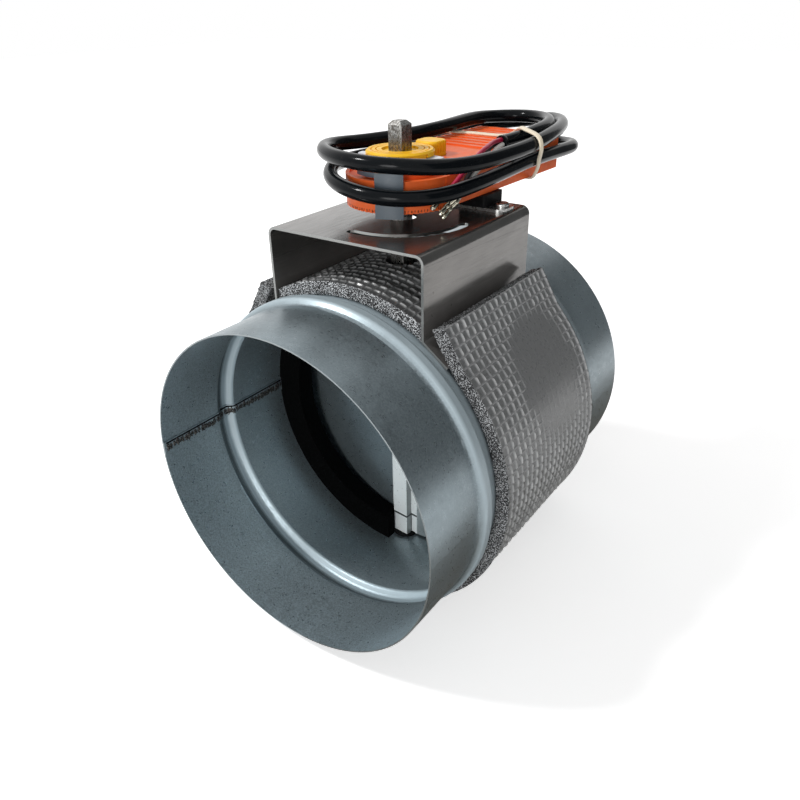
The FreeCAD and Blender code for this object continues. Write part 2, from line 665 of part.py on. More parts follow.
def corner_places():
    return [V(side * SCREW_X, y, 0) for side in (1, -1) for y in SCREW_Y]


def housing_base():
    base = housing_outline(0, HOUSING_BOTTOM, SPLIT_Z)
    base = base.cut(housing_outline(HOUSING_WALL, FLOOR_Z, SPLIT_Z + 1))
    base = base.fuse([cylinder(SCREW_BOSS_R, HOUSING_BOTTOM, SPLIT_Z, place.x, place.y)
                      for place in corner_places()])
    base = base.cut(cylinder(HUB_R + RUNNING_FIT, HOUSING_BOTTOM - 1, SPLIT_Z))
    for place in corner_places():
        base = base.cut(cylinder(SCREW_R + SEAT, HOUSING_BOTTOM - 1, SPLIT_Z + 1, place.x, place.y))
        base = base.cut(cylinder(SCREW_HEAD_R + SEAT, HOUSING_BOTTOM - 1, HOUSING_BOTTOM + SCREW_HEAD,
                                 place.x, place.y))
    slot = centred_box(SUPPORT_X, SUPPORT_Y, 2 * SUPPORT_PIN_R + 0.6, 4 * SUPPORT_PIN_R,
                       HOUSING_BOTTOM - 1, FLOOR_Z + 1)
    notches = [notch.rotated(ORIGIN, Z_AXIS, angle) for angle, notch in nose_notches()]
    return on_actuator(base.cut(slot).cut(Part.makeCompound(notches)))


def nose_notches():
    """Cutters for the fine rack along the bottom rim of the nose."""
    count = int(180 / NOTCH_STEP)
    for index in range(count):
        angle = -180 + NOTCH_STEP * (index + 0.5)
        yield angle, box(NOSE_R - NOTCH_DEPTH, NOSE_R + 1, -NOTCH_WIDTH / 2, NOTCH_WIDTH / 2,
                         HOUSING_BOTTOM - 1, HOUSING_BOTTOM + NOTCH_WIDTH)


def pocket_box(inset, z_from, z_to):
    """Upright block with the button's rounded plan, grown by an inset."""
    block = centred_box(BUTTON_X, BUTTON_Y, BUTTON_WIDTH + 2 * inset, BUTTON_DEPTH + 2 * inset, z_from, z_to)
    return round_edges(block, BUTTON_CORNER + inset, is_vertical)


def housing_cover():
    cover = housing_outline(0, SPLIT_Z, HOUSING_TOP)
    above_rim = box(-NOSE_R - 1, NOSE_R + 1, -NOSE_R - 1, SHOULDER_Y, RIM_Z, HOUSING_TOP + 1)
    cover = cover.cut(above_rim.cut(cylinder(BOSS_R, RIM_Z - 1, HOUSING_TOP + 2)))
    groove = ring(NOSE_R - RIM_WIDTH, BOSS_R, RIM_Z - LEDGE_DROP, RIM_Z + 1)
    groove = groove.common(box(-NOSE_R, NOSE_R, -NOSE_R, SHOULDER_Y, RIM_Z - LEDGE_DROP, RIM_Z + 1))
    cover = cover.cut(groove)
    cover = round_edges(cover, TOP_EDGE_R, lambda edge: lies_at(edge, HOUSING_TOP))
    ledge_ceiling = RIM_Z - LEDGE_DROP - HOUSING_WALL
    hollow = housing_outline(HOUSING_WALL, SPLIT_Z - 1, ledge_ceiling)
    upper = housing_outline(HOUSING_WALL, ledge_ceiling, HOUSING_TOP - HOUSING_WALL)
    upper = upper.common(box(-NOSE_R, NOSE_R, SHOULDER_Y + HOUSING_WALL, TAIL_REACH,
                             SPLIT_Z, HOUSING_TOP))
    hollow = hollow.fuse(upper)
    pocket_wall = pocket_box(HOUSING_WALL, POCKET_FLOOR, HOUSING_TOP - HOUSING_WALL / 2)
    collar = cylinder(HUB_R + HOUSING_WALL + 1, ledge_ceiling - 0.6, HOUSING_TOP - HOUSING_WALL / 2)
    hollow = hollow.cut(pocket_wall).cut(collar)
    cover = cover.cut(hollow)
    bosses = [cylinder(SCREW_BOSS_R, SPLIT_Z, HOUSING_TOP - HOUSING_WALL / 2, place.x, place.y)
              for place in corner_places()]
    ribs = [box(-TAIL_HALF + RIB_MARGIN, TAIL_HALF - RIB_MARGIN, y, y + RIB_WIDTH,
                HOUSING_TOP - HOUSING_WALL / 2, HOUSING_TOP + RIB_HEIGHT)
            for y in (RIB_START + index * RIB_PITCH for index in range(RIB_COUNT))]
    cover = cover.fuse(bosses + ribs)
    holes = [cylinder(HUB_R + RUNNING_FIT, SPLIT_Z, HOUSING_TOP + 1),
             pocket_box(CLEARANCE, POCKET_FLOOR + HOUSING_WALL, HOUSING_TOP + 1),
             cylinder(BUTTON_PIN_R + CLEARANCE, POCKET_FLOOR - 1, HOUSING_TOP, BUTTON_PIN_X, BUTTON_PIN_Y)]
    holes += [cylinder(SCREW_R + SEAT, SPLIT_Z - 1, HOUSING_BOTTOM + SCREW_HEAD + SCREW_LENGTH,
                       place.x, place.y) for place in corner_places()]
    holes.append(Part.makeCylinder(GLAND_R - 1, 4, V(GLAND_X, TAIL_REACH - 3, GLAND_Z), Y_AXIS))
    for hole in holes:
        cover = cover.cut(hole)
    return on_actuator(cover)


def housing_screws():
    screws = []
    for place in corner_places():
        bottom = HOUSING_BOTTOM + SEAT
        head = cylinder(SCREW_HEAD_R, bottom, HOUSING_BOTTOM + SCREW_HEAD, place.x, place.y)
        shank = cylinder(SCREW_R, bottom, HOUSING_BOTTOM + SCREW_HEAD + SCREW_LENGTH - CLEARANCE,
                         place.x, place.y)
        slot = centred_box(place.x, place.y, 2 * SCREW_HEAD_R, SCREW_SLOT, bottom - 1, bottom + SCREW_SLOT)
        screws.append(on_actuator(head.fuse(shank).removeSplitter().cut(slot)))
    return Part.makeCompound(screws)


def clamp_ring():
    """Clamp ring on the shaft, with concentric steps and a slot for the pointer."""
    body = cylinder(RING_R, RING_BOTTOM, RING_TOP)
    body = body.makeChamfer(RING_EDGE, [edge for edge in body.Edges if lies_at(edge, RING_TOP)])
    for index in range(RING_GROOVES):
        groove_r = RING_R - RING_EDGE - RING_STEP - index * RING_GROOVE_PITCH
        body = body.cut(ring(groove_r, groove_r - RING_GROOVE, RING_TOP - RING_GROOVE, RING_TOP + 1))
    body = body.cut(cylinder(RING_RECESS_R, RING_TOP - RING_RECESS, RING_TOP + 1))
    body = body.cut(pointer_plate(CLEARANCE))
    grips = [box(RING_R - GRIP_DEPTH, RING_R + 1, -GRIP_WIDTH / 2, GRIP_WIDTH / 2,
                 RING_BOTTOM - 1, RING_TOP - RING_STEP).rotated(ORIGIN, Z_AXIS, angle)
             for angle in range(-150, 180, 30)]
    body = body.cut(Part.makeCompound(grips))
    lower = body.Solids[0] if len(body.Solids) == 1 else max(body.Solids, key=lambda part: part.Volume)
    return at_rest(lower.cut(shaft_bar()))


def pointer_plate(gap):
    """Two-ended pointer with tapered tips, grown by a gap."""
    half = POINTER_WIDTH / 2 + gap
    reach = POINTER_REACH + gap
    tip = half * POINTER_TAPER
    outline = [V(-reach, -tip, 0), V(-RING_R, -half, 0), V(RING_R, -half, 0), V(reach, -tip, 0),
               V(reach, tip, 0), V(RING_R, half, 0), V(-RING_R, half, 0), V(-reach, tip, 0)]
    plate = prism(outline, V(0, 0, POINTER_SHEET + 2 * gap)).translated(V(0, 0, POINTER_Z - gap))
    core = cylinder(HUB_R - gap, POINTER_Z - 1 - gap, POINTER_Z + POINTER_SHEET + 1 + gap)
    return plate.cut(core).rotated(ORIGIN, Z_AXIS, POINTER_TURN)


def pointer():
    return at_rest(pointer_plate(0))


def release_button():
    """Hollow push button with grip ribs on its side and a guide pin."""
    low = POCKET_FLOOR + HOUSING_WALL + BUTTON_TRAVEL + CLEARANCE
    body = round_edges(pocket_box(0, low, BUTTON_TOP), BUTTON_EDGE, lambda edge: lies_at(edge, BUTTON_TOP))
    body = body.cut(pocket_box(-BUTTON_WALL, low - 1, BUTTON_TOP - BUTTON_WALL))
    pin = cylinder(BUTTON_PIN_R, POCKET_FLOOR + CLEARANCE, BUTTON_TOP - BUTTON_WALL / 2,
                   BUTTON_PIN_X, BUTTON_PIN_Y)
    side = BUTTON_X + BUTTON_WIDTH / 2
    grooves = [box(side - BUTTON_GRIP_DEPTH, side + 1, y - BUTTON_GRIP_WIDTH / 2, y + BUTTON_GRIP_WIDTH / 2,
                   HOUSING_TOP + BUTTON_WALL, BUTTON_TOP + 1)
               for y in (BUTTON_Y + step * BUTTON_GRIP_PITCH for step in range(-2, 3))]
    return on_actuator(body.cut(Part.makeCompound(grooves)).fuse(pin))


def button_spring():
    """Spring round the guide pin, as a plain tube."""
    low = POCKET_FLOOR + HOUSING_WALL
    tube = cylinder(SPRING_R, low + SEAT, BUTTON_TOP - BUTTON_WALL - SEAT, BUTTON_PIN_X, BUTTON_PIN_Y)
    hole = cylinder(BUTTON_PIN_R + CLEARANCE, low, BUTTON_TOP, BUTTON_PIN_X, BUTTON_PIN_Y)
    return on_actuator(tube.cut(hole))


def end_stop_clip():
    """Adjustable end stop: a plate hooked over the rim, with an arm on the ledge."""
    inner = NOSE_R + CLEARANCE
    outer = inner + CLIP_SHEET
    half_turn = degrees(CLIP_WIDTH / 2 / outer)
    start, stop = CLIP_ANGLE - half_turn, CLIP_ANGLE + half_turn
    arm_low = RIM_Z + CLEARANCE
    arm_high = CLIP_TOP - CLEARANCE
    plate = arc_sector(outer, inner, CLIP_BOTTOM, CLIP_TOP, start, stop)
    foot = arc_sector(outer, inner - CLIP_FOOT, CLIP_BOTTOM, HOUSING_BOTTOM - CLEARANCE, start, stop)
    bridge = arc_sector(outer, CLIP_ARM_R - CLIP_ARM_WIDTH, arm_low, arm_high, start, stop)
    arm = arc_sector(CLIP_ARM_R, CLIP_ARM_R - CLIP_ARM_WIDTH, arm_low, arm_high, CLIP_ARM_FROM, CLIP_ARM_TO)
    clip = plate.fuse([foot, bridge, arm]).removeSplitter()
    return on_duct(clip)


# Gear train

def gear(teeth, module, z_from, z_to, phase=0.0):
    """Spur gear with straight flanks, thinned for backlash."""
    pitch_r = module * teeth / 2
    tip_r = pitch_r + 0.85 * module
    root_r = pitch_r - 1.2 * module
    tip_half = degrees((0.20 * pi * module / 2 - GEAR_BACKLASH / 4) / tip_r) * 1.7
    pitch_half = degrees((pi * module / 4 - GEAR_BACKLASH / 2) / pitch_r)
    root_half = pitch_half + (pitch_half - tip_half) * 1.2 / 0.85 * 0.8
    points = []
    for index in range(teeth):
        middle = phase + 360.0 * index / teeth
        points += [polar(root_r, middle - root_half, z_from), polar(tip_r, middle - tip_half, z_from),
                   polar(tip_r, middle + tip_half, z_from), polar(root_r, middle + root_half, z_from)]
    return prism(points, V(0, 0, z_to - z_from))


def mesh_phase(teeth, direction):
    """Phase that puts a gap of the driven gear on the line towards its neighbour."""
    return direction + 180.0 / teeth


def heading(start, end):
    return degrees(atan2(end.y - start.y, end.x - start.x))


def output_gear():
    """Output wheel with the hollow hub that clamps the shaft."""
    toward = heading(ORIGIN, SECOND_GEAR)
    wheel = gear(OUTPUT_TEETH, OUTPUT_MODULE, GEAR_Z, GEAR_TOP_A, mesh_phase(OUTPUT_TEETH, toward))
    hub = cylinder(HUB_R, HOUSING_BOTTOM, RING_BOTTOM)
    body = wheel.fuse(hub).rotated(ORIGIN, Z_AXIS, ACTUATOR_TURN)
    return on_duct(body.cut(shaft_bar().rotated(ORIGIN, Z_AXIS, -REST_OPENING)))


def compound_gear(place, upstream, downstream, pinion_z, wheel_z):
    """Pinion and wheel in one piece; the pinion meets the wheel before it in the train."""
    pinion = gear(PINION_TEETH, OUTPUT_MODULE if pinion_z == GEAR_Z else WHEEL_MODULE,
                  pinion_z, wheel_z, heading(place, downstream))
    wheel = gear(WHEEL_TEETH, WHEEL_MODULE, wheel_z, wheel_z + WHEEL_HEIGHT,
                 mesh_phase(WHEEL_TEETH, heading(place, upstream)))
    bore = cylinder(AXLE_R + RUNNING_FIT, pinion_z - 1, wheel_z + WHEEL_HEIGHT + 1)
    return on_actuator(pinion.fuse(wheel).cut(bore).translated(place))


def second_gear():
    return compound_gear(SECOND_GEAR, FIRST_GEAR, ORIGIN, GEAR_Z, LAYER_B)


def first_gear():
    return compound_gear(FIRST_GEAR, MOTOR, SECOND_GEAR, LAYER_B, LAYER_C)


def motor_pinion():
    """Pinion on the motor's shaft."""
    low = LAYER_C - LAYER_GAP + CLEARANCE
    pinion = gear(PINION_TEETH, WHEEL_MODULE, low, LAYER_C + WHEEL_HEIGHT, heading(MOTOR, FIRST_GEAR))
    bore = cylinder(MOTOR_SHAFT_R + RUNNING_FIT, low - 1, LAYER_C + WHEEL_HEIGHT + 1)
    return on_actuator(pinion.cut(bore).translated(MOTOR))


def motor():
    """Small flat motor that stands on the floor of the base, with its shaft."""
    top = LAYER_B + WHEEL_HEIGHT
    can = cylinder(MOTOR_R, FLOOR_Z, top)
    can = can.makeFillet(MOTOR_EDGE_R, [edge for edge in can.Edges if lies_at(edge, top)])
    shaft = cylinder(MOTOR_SHAFT_R, top - 1, LAYER_C + WHEEL_HEIGHT)
    return on_actuator(can.fuse(shaft).removeSplitter().translated(MOTOR))


def gear_axles():
    tops = ((SECOND_GEAR, LAYER_B + WHEEL_HEIGHT + CLEARANCE), (FIRST_GEAR, LAYER_C + WHEEL_HEIGHT))
    axles = [cylinder(AXLE_R, FLOOR_Z, top, place.x, place.y) for place, top in tops]
    return on_actuator(Part.makeCompound(axles))


def circuit_board():
    """Board with a terminal block, a relay and two capacitors."""
    back = TAIL_REACH - HOUSING_WALL - BOARD_END_GAP
    top = BOARD_Z + BOARD_SHEET
    half = BOARD_WIDTH / 2
    board = box(-half, half, BOARD_FROM, back, BOARD_Z, top)
    stands = [cylinder(STAND_R, FLOOR_Z, BOARD_Z, side * (half - STAND_INSET), y)
              for side in (1, -1) for y in (BOARD_FROM + STAND_INSET, back - STAND_INSET)]
    terminal_y = back - TERMINAL_DEPTH / 2 - BOARD_GAP
    terminal_top = top + TERMINAL_HEIGHT
    terminal = centred_box(GLAND_X / 2, terminal_y, TERMINAL_WIDTH, TERMINAL_DEPTH, top, terminal_top)
    relay_y = BOARD_FROM + RELAY_DEPTH
    relay = centred_box(half / 2, relay_y, RELAY_WIDTH, RELAY_DEPTH, top, top + RELAY_HEIGHT)
    capacitor_top = top + CAPACITOR_HEIGHT
    capacitors = [cylinder(CAPACITOR_R, top, capacitor_top, -half / 2, BOARD_FROM + y * CAPACITOR_PITCH)
                  for y in (1, 2)]
    return on_actuator(board.fuse(stands + [terminal, relay] + capacitors).removeSplitter())


# Support of the actuator on the bracket

def strap_screw_places():
    far_x = SUPPORT_X - STRAP_LENGTH + 2 * STRAP_SCREW_REACH
    return [V(SUPPORT_X + STRAP_SCREW_REACH, SUPPORT_Y, 0), V(far_x - STRAP_SCREW_REACH, SUPPORT_Y, 0)]


def anti_rotation_strap():
    right = SUPPORT_X + STRAP_SCREW_REACH + STRAP_WIDTH / 3
    strap = box(right - STRAP_LENGTH, right, SUPPORT_Y - STRAP_WIDTH / 2, SUPPORT_Y + STRAP_WIDTH / 2,
                BRACKET_TOP, STRAP_TOP)
    strap = round_edges(strap, STRAP_WIDTH / 3, is_vertical)
    for place in strap_screw_places():
        strap = strap.cut(cylinder(STRAP_SCREW_R + SEAT, BRACKET_TOP - 1, STRAP_TOP + 1, place.x, place.y))
    return on_actuator(strap)


def anti_rotation_block():
    """Block between strap and housing, with a pin that enters the slot in the base."""
    block = centred_box(SUPPORT_X, SUPPORT_Y, BLOCK_WIDTH, BLOCK_DEPTH, STRAP_TOP, HOUSING_BOTTOM)
    block = round_edges(block, BLOCK_CORNER, is_vertical)
    pin = cylinder(SUPPORT_PIN_R, HOUSING_BOTTOM - 1, HOUSING_BOTTOM + HOUSING_WALL, SUPPORT_X, SUPPORT_Y)
    return on_actuator(block.fuse(pin))


def strap_screws():
    screws = []
    for place in strap_screw_places():
        head = cylinder(STRAP_SCREW_HEAD_R, STRAP_TOP, STRAP_TOP + STRAP_SCREW_HEAD, place.x, place.y)
        top = STRAP_TOP + STRAP_SCREW_HEAD
        head = head.makeFillet(STRAP_SCREW_HEAD * 0.45, [edge for edge in head.Edges if lies_at(edge, top)])
        shank = cylinder(STRAP_SCREW_R, BRACKET_TOP - BRACKET_SHEET - STRAP_SCREW_TAIL, STRAP_TOP,
                         place.x, place.y)
        slot = centred_box(place.x, place.y, 2 * STRAP_SCREW_HEAD_R, STRAP_SCREW_SLOT,
                           top - STRAP_SCREW_HEAD * 0.45, top + 1)
        screws.append(on_actuator(head.fuse(shank).removeSplitter().cut(slot)))
    return Part.makeCompound(screws)


def cable_gland():
    """Bush in the rear wall that the cable comes out of."""
    start = V(GLAND_X, TAIL_REACH - HOUSING_WALL - 1, GLAND_Z)
    neck = Part.makeCylinder(GLAND_R - 1 - SEAT, HOUSING_WALL + 2, start, Y_AXIS)
    seat = V(GLAND_X, TAIL_REACH, GLAND_Z)
    collar = Part.makeCone(GLAND_R, GLAND_R - GLAND_TAPER, GLAND_LENGTH, seat, Y_AXIS)
    hole = Part.makeCylinder(CABLE_D / 2 + SEAT, 2 * GLAND_LENGTH + 4, start - V(0, 2, 0), Y_AXIS)
    return on_actuator(neck.fuse(collar).removeSplitter().cut(hole))


# Cable, cores and band

def rounded_path(points, closed=False):
    """Straight runs joined by tangent arcs: the edges, in order, and the radius of each arc."""
    corners = [V(*point) for point in points]
    count = len(corners)
    bends = []
    for index in range(count) if closed else range(1, count - 1):
        here = corners[index]
        before, after = corners[index - 1], corners[(index + 1) % count]
        setback = ARC_SHARE * min((before - here).Length, (after - here).Length)
        bends.append(bend(before, here, after, setback))
    start = (bends[-1][2] + bends[0][0]) * 0.5 if closed else corners[0]
    end = start if closed else corners[-1]
    edges = []
    for first, middle, last, _ in bends:
        edges += [Part.makeLine(start, first), Part.Arc(first, middle, last).toShape()]
        start = last
    edges.append(Part.makeLine(start, end))
    return edges, [bend[3] for bend in bends]


def swept(edges, diameter):
    """Round tube along a run of tangent edges."""
    start = edges[0]
    direction = start.tangentAt(start.FirstParameter)
    circle = Part.Circle(start.valueAt(start.FirstParameter), direction, diameter / 2)
    return Part.Wire(edges).makePipeShell([Part.Wire(circle.toShape())], True, False)


def tube(name, points, diameter, closed=False):
    """Round tube along a rounded path; prints its length and tightest radius."""
    edges, radii = rounded_path(points, closed)
    if closed:
        half = len(edges) // 2
        shape = swept(edges[:half], diameter).fuse(swept(edges[half:], diameter))
    else:
        shape = swept(edges, diameter)
    length = sum(edge.Length for edge in edges)
    expected = pi * diameter ** 2 / 4 * length
    print(f"{name}: length {length:.1f} mm, tightest radius {min(radii):.1f} mm, "
          f"volume {shape.Volume / expected:.4f} of section times length")
    return shape


def wire_ferrules():
    """Crimped sleeves on the ends of the cores."""
    ferrules = []
    for route in CORE_ROUTES.values():
        end, before = V(*route[-1]), V(*route[-2])
        along = (end - before).normalize()
        collar = Part.makeCylinder(FERRULE_D / 2 + CLEARANCE, FERRULE_COLLAR, end, along)
        pin = Part.makeCylinder(FERRULE_D / 2, FERRULE_LENGTH, end, along)
        ferrules.append(collar.fuse(pin).removeSplitter())
    return Part.makeCompound(ferrules)


def power_cable():
    return tube("power_cable", CABLE_ROUTE, CABLE_D)


def rubber_band():
    return tube("rubber_band", BAND_LOOP, BAND_D, closed=True)


def build_all():
    nodes = {
        "duct_body": duct_body(),
        "insulation_wrap": insulation_wrap(),
        "insulation_strip": insulation_strip(),
        "bracket": bracket(),
        "bracket_rivets": bracket_rivets(),
        "damper_shaft": damper_shaft(),
        "blade_front_sheet": blade_sheet(-1),
        "blade_rear_sheet": blade_sheet(1),
        "shaft_sleeves": shaft_sleeves(),
        "upper_bush": bush(1),
        "lower_bush": bush(-1),
        "front_half_seal": half_seal(-1),
        "rear_half_seal": half_seal(1),
        "housing_base": housing_base(),
        "housing_cover": housing_cover(),
        "housing_screws": housing_screws(),
        "clamp_ring": clamp_ring(),
        "pointer": pointer(),
        "release_button": release_button(),
        "button_spring": button_spring(),
        "end_stop_clip": end_stop_clip(),
        "output_gear": output_gear(),
        "second_gear": second_gear(),
        "first_gear": first_gear(),
        "motor_pinion": motor_pinion(),
        "motor": motor(),
        "gear_axles": gear_axles(),
        "circuit_board": circuit_board(),
        "anti_rotation_strap": anti_rotation_strap(),
        "anti_rotation_block": anti_rotation_block(),
        "strap_screws": strap_screws(),
        "cable_gland": cable_gland(),
        "power_cable": power_cable(),
        "wire_ferrules": wire_ferrules(),
        "rubber_band": rubber_band(),
    }
    for name, route in CORE_ROUTES.items():
        nodes[name] = tube(name, route, CORE_D)
    return nodes


def write_parts(nodes):
    os.makedirs("parts", exist_ok=True)
    for name, shape in nodes.items():
        whole = shape if shape.ShapeType == "Compound" else Part.makeCompound(shape.Solids)
        print(f"{name}: {len(whole.Solids)} solid(s), volume {whole.Volume:.1f}, valid {whole.isValid()}")
        whole.exportStep(f"parts/{name}.step")


write_parts(build_all())
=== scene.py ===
"""Motorized round duct damper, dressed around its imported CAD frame, in metres."""
import random
from math import acos, cos, degrees, pi, radians, sin

import bmesh
import bpy
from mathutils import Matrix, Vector, noise
from mathutils.bvhtree import BVHTree


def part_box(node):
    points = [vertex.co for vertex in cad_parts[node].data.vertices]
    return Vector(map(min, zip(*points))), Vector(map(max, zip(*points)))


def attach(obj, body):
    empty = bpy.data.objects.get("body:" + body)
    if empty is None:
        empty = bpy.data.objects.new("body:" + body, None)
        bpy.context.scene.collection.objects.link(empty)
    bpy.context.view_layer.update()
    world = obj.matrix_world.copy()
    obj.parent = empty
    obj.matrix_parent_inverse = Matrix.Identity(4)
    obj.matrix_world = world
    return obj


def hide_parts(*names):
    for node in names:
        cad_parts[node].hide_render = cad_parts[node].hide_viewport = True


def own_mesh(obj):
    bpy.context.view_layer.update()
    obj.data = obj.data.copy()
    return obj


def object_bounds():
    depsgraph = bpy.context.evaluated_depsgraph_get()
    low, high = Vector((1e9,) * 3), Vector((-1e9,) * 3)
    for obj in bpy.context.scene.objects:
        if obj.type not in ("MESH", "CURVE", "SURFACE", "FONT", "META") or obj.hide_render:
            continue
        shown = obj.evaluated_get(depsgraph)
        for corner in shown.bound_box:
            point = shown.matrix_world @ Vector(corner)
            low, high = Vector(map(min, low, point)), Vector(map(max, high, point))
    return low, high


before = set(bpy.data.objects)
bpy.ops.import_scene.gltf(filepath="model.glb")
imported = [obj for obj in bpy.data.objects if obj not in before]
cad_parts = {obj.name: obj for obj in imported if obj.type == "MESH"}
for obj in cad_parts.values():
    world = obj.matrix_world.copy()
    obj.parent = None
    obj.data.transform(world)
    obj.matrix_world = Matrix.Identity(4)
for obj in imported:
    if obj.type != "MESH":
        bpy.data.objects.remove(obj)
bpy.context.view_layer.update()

MM = 0.001
WHITE = (1.0, 1.0, 1.0)

# Sizes shared with the CAD, in millimetres
DUCT_R = 79.5
DUCT_WALL = 0.6
DUCT_LENGTH = 192.5
LAP_ANGLE = 177.0
SHAFT_Y = DUCT_LENGTH / 2
SLEEVE_START = 64.7
FOAM = 6.6
FOAM_START = 51.8
FOAM_END = 143.7
FLAP_ANGLE = 44.0
BRACKET_HALF = 42.4
BRACKET_SHEET = 1.2

# Camera that was fitted to the photograph: millimetres, degrees, millimetres
CAMERA_PLACE = (199.81, -186.23, 198.48)
CAMERA_TURN = (61.150, 0.961, 35.114)
CAMERA_LENS = 33.453

# Control points of the cable, its cores and the rubber band, in millimetres
CABLE_D = 6.8
CORE_D = 2.2
GLAND_TAPER = (0.85, 0.85, 0.93)
CABLE_ROUTE = [
    (-4.9, 203.0, 122.4), (-4.4, 215.5, 122.4), (0.8, 227.4, 122.5), (9.2, 232.3, 120.8),
    (19.0, 230.1, 120.6), (27.4, 222.6, 121.9), (33.3, 212.3, 122.7), (34.6, 198.9, 123.3),
    (34.7, 183.9, 123.9), (35.3, 168.3, 124.6), (35.3, 151.3, 124.8), (35.1, 134.4, 124.2),
    (35.0, 117.4, 123.6), (34.5, 101.8, 123.1), (31.7, 87.0, 122.0), (24.8, 74.8, 121.7),
    (13.7, 67.0, 121.9), (-1.4, 64.6, 123.2), (-15.8, 69.5, 124.3), (-28.0, 79.4, 124.9),
    (-36.4, 91.4, 125.8), (-40.6, 103.3, 125.6), (-39.3, 114.4, 126.1), (-33.9, 127.3, 126.6),
    (-30.7, 142.2, 126.5), (-29.4, 158.0, 126.3), (-28.2, 174.0, 126.6), (-27.0, 189.9, 127.3),
    (-24.9, 205.2, 128.1), (-18.8, 219.8, 129.8), (-10.7, 229.6, 130.2), (-0.3, 233.2, 131.4),
    (11.2, 229.1, 133.5), (21.6, 218.8, 134.5), (29.1, 205.5, 134.8), (34.0, 190.4, 134.8),
    (37.4, 174.5, 134.9), (39.8, 157.7, 134.4), (40.2, 140.7, 133.5), (39.2, 124.8, 133.2),
    (37.5, 109.6, 132.8), (34.6, 94.9, 132.9), (28.7, 81.2, 133.8), (19.2, 70.9, 134.9),
    (6.1, 65.7, 135.5), (-7.6, 66.3, 135.9), (-21.1, 72.2, 135.6), (-32.7, 81.4, 135.2),
    (-40.4, 92.6, 134.8), (-41.5, 104.4, 134.0), (-37.5, 115.0, 133.6), (-30.0, 125.7, 134.2),
    (-23.2, 136.9, 134.9), (-18.6, 150.0, 135.7), (-17.2, 165.0, 136.1), (-17.8, 180.5, 136.3),
    (-18.0, 195.1, 136.1), (-14.6, 208.4, 135.3), (-5.9, 217.2, 135.1), (5.7, 217.7, 135.5),
    (16.5, 210.9, 135.9), (24.1, 199.9, 136.1), (28.0, 187.1, 135.9), (29.5, 173.9, 135.7),
    (29.2, 161.8, 135.1), (27.3, 151.3, 134.3), (26.0, 143.1, 134.2),
]
CORE_ROUTES = {
    "core_red": [
        (25.96, 142.9, 135.52), (25.26, 137.74, 135.65), (26.67, 129.83, 135.03), (28.18, 120.62, 134.1),
        (28.7, 111.5, 131.2), (28.7, 103.5, 127.6), (28.2, 97.6, 124.2), (27.4, 93.4, 121.7),
    ],
    "core_black": [
        (24.85, 143.18, 133.54), (23.96, 137.84, 133.45), (25.97, 130.33, 132.62), (27.58, 122.62, 131.8),
        (28.4, 114.0, 128.6), (28.9, 106.5, 125.0), (29.5, 101.2, 121.0), (29.2, 96.0, 118.6),
    ],
    "core_white": [
        (27.03, 142.5, 133.54), (26.76, 137.34, 132.85), (28.17, 130.83, 131.32), (28.78, 123.12, 129.3),
        (28.9, 116.0, 126.8), (28.8, 109.5, 123.4), (28.4, 105.5, 119.4), (28.1, 99.6, 116.4),
    ],
}
BAND_LOOP = [
    (29.6, 171.6, 112.6), (34.0, 164.4, 115.6), (38.6, 158.8, 121.4), (40.8, 154.6, 126.4),
    (44.6, 148.4, 131.4), (44.4, 147.4, 136.2), (41.2, 148.8, 138.4), (34.0, 153.6, 139.0),
    (26.6, 160.6, 139.2), (19.0, 166.6, 134.4), (11.0, 171.0, 132.1), (-8.0, 173.0, 131.95),
    (-19.0, 170.8, 131.95), (-26.8, 167.4, 131.4), (-33.4, 165.4, 129.0), (-33.1, 165.8, 122.6),
    (-28.4, 168.6, 116.8), (-23.4, 171.8, 112.4), (-12.0, 173.0, 112.7), (8.0, 173.4, 112.7),
]


def metres(points):
    """Vectors in metres from points in millimetres."""
    return [Vector(point) * MM for point in points]


def srgb(code):
    """Linear colour of a hex code."""
    channels = [int(code[i:i + 2], 16) / 255 for i in (0, 2, 4)]
    return tuple(c / 12.92 if c <= 0.04045 else ((c + 0.055) / 1.055) ** 2.4 for c in channels)


def shade(color, share):
    """Darker or lighter version of a colour."""
    return tuple(min(1.0, channel * share) for channel in color)


# Materials

FOAM_GREY = (0.26, 0.265, 0.268)
ZINC = (0.212, 0.255, 0.276)
STEEL = (0.195, 0.187, 0.179)
CARD_GREY = (0.17, 0.18, 0.185)
APRON_BROWN = (0.26, 0.225, 0.18)

# Places of the painted light and of the other finishes, in millimetres: bead highlights and groove shade
# from the shaft's plane, heights from the axis
BEAD_HIGHLIGHT = 51.5
INNER_CREST_HIGHLIGHT = 51.3
INNER_GROOVE_SHADE = 57.4
FRONT_LIGHT_FADE = (32.0, 38.0)
REAR_HIGHLIGHT_FADE = (90.0, 100.0)
# Painted highlight on the blade's pressed channel and painted sheen in a strip beside it
CHANNEL = 8.6
CHANNEL_FADE = 0.6
SHEEN_STRIP = 16.0
SEAM_HALF = 0.5
# Dark broken line just below the bracket's bends
BEND_LINE_Z = 103.95
BEND_LINE_SLOPE = 0.05
BEND_LINE_HALF = 0.22
LEG_FADE = (80.0, 94.0)
# Painted light across the bracket: lightest at the left edge, darkest through the middle
LEFT_LIGHT_FADE = (-42.0, -18.0)
RIGHT_LIGHT_FADE = (30.0, 41.0)
# Painted shade of the notches round the nose
TEETH = 106
TEETH_Z = 114.3
TEETH_REACH = (24.2, 24.6)
TEETH_BEHIND = (4.0, 6.0)


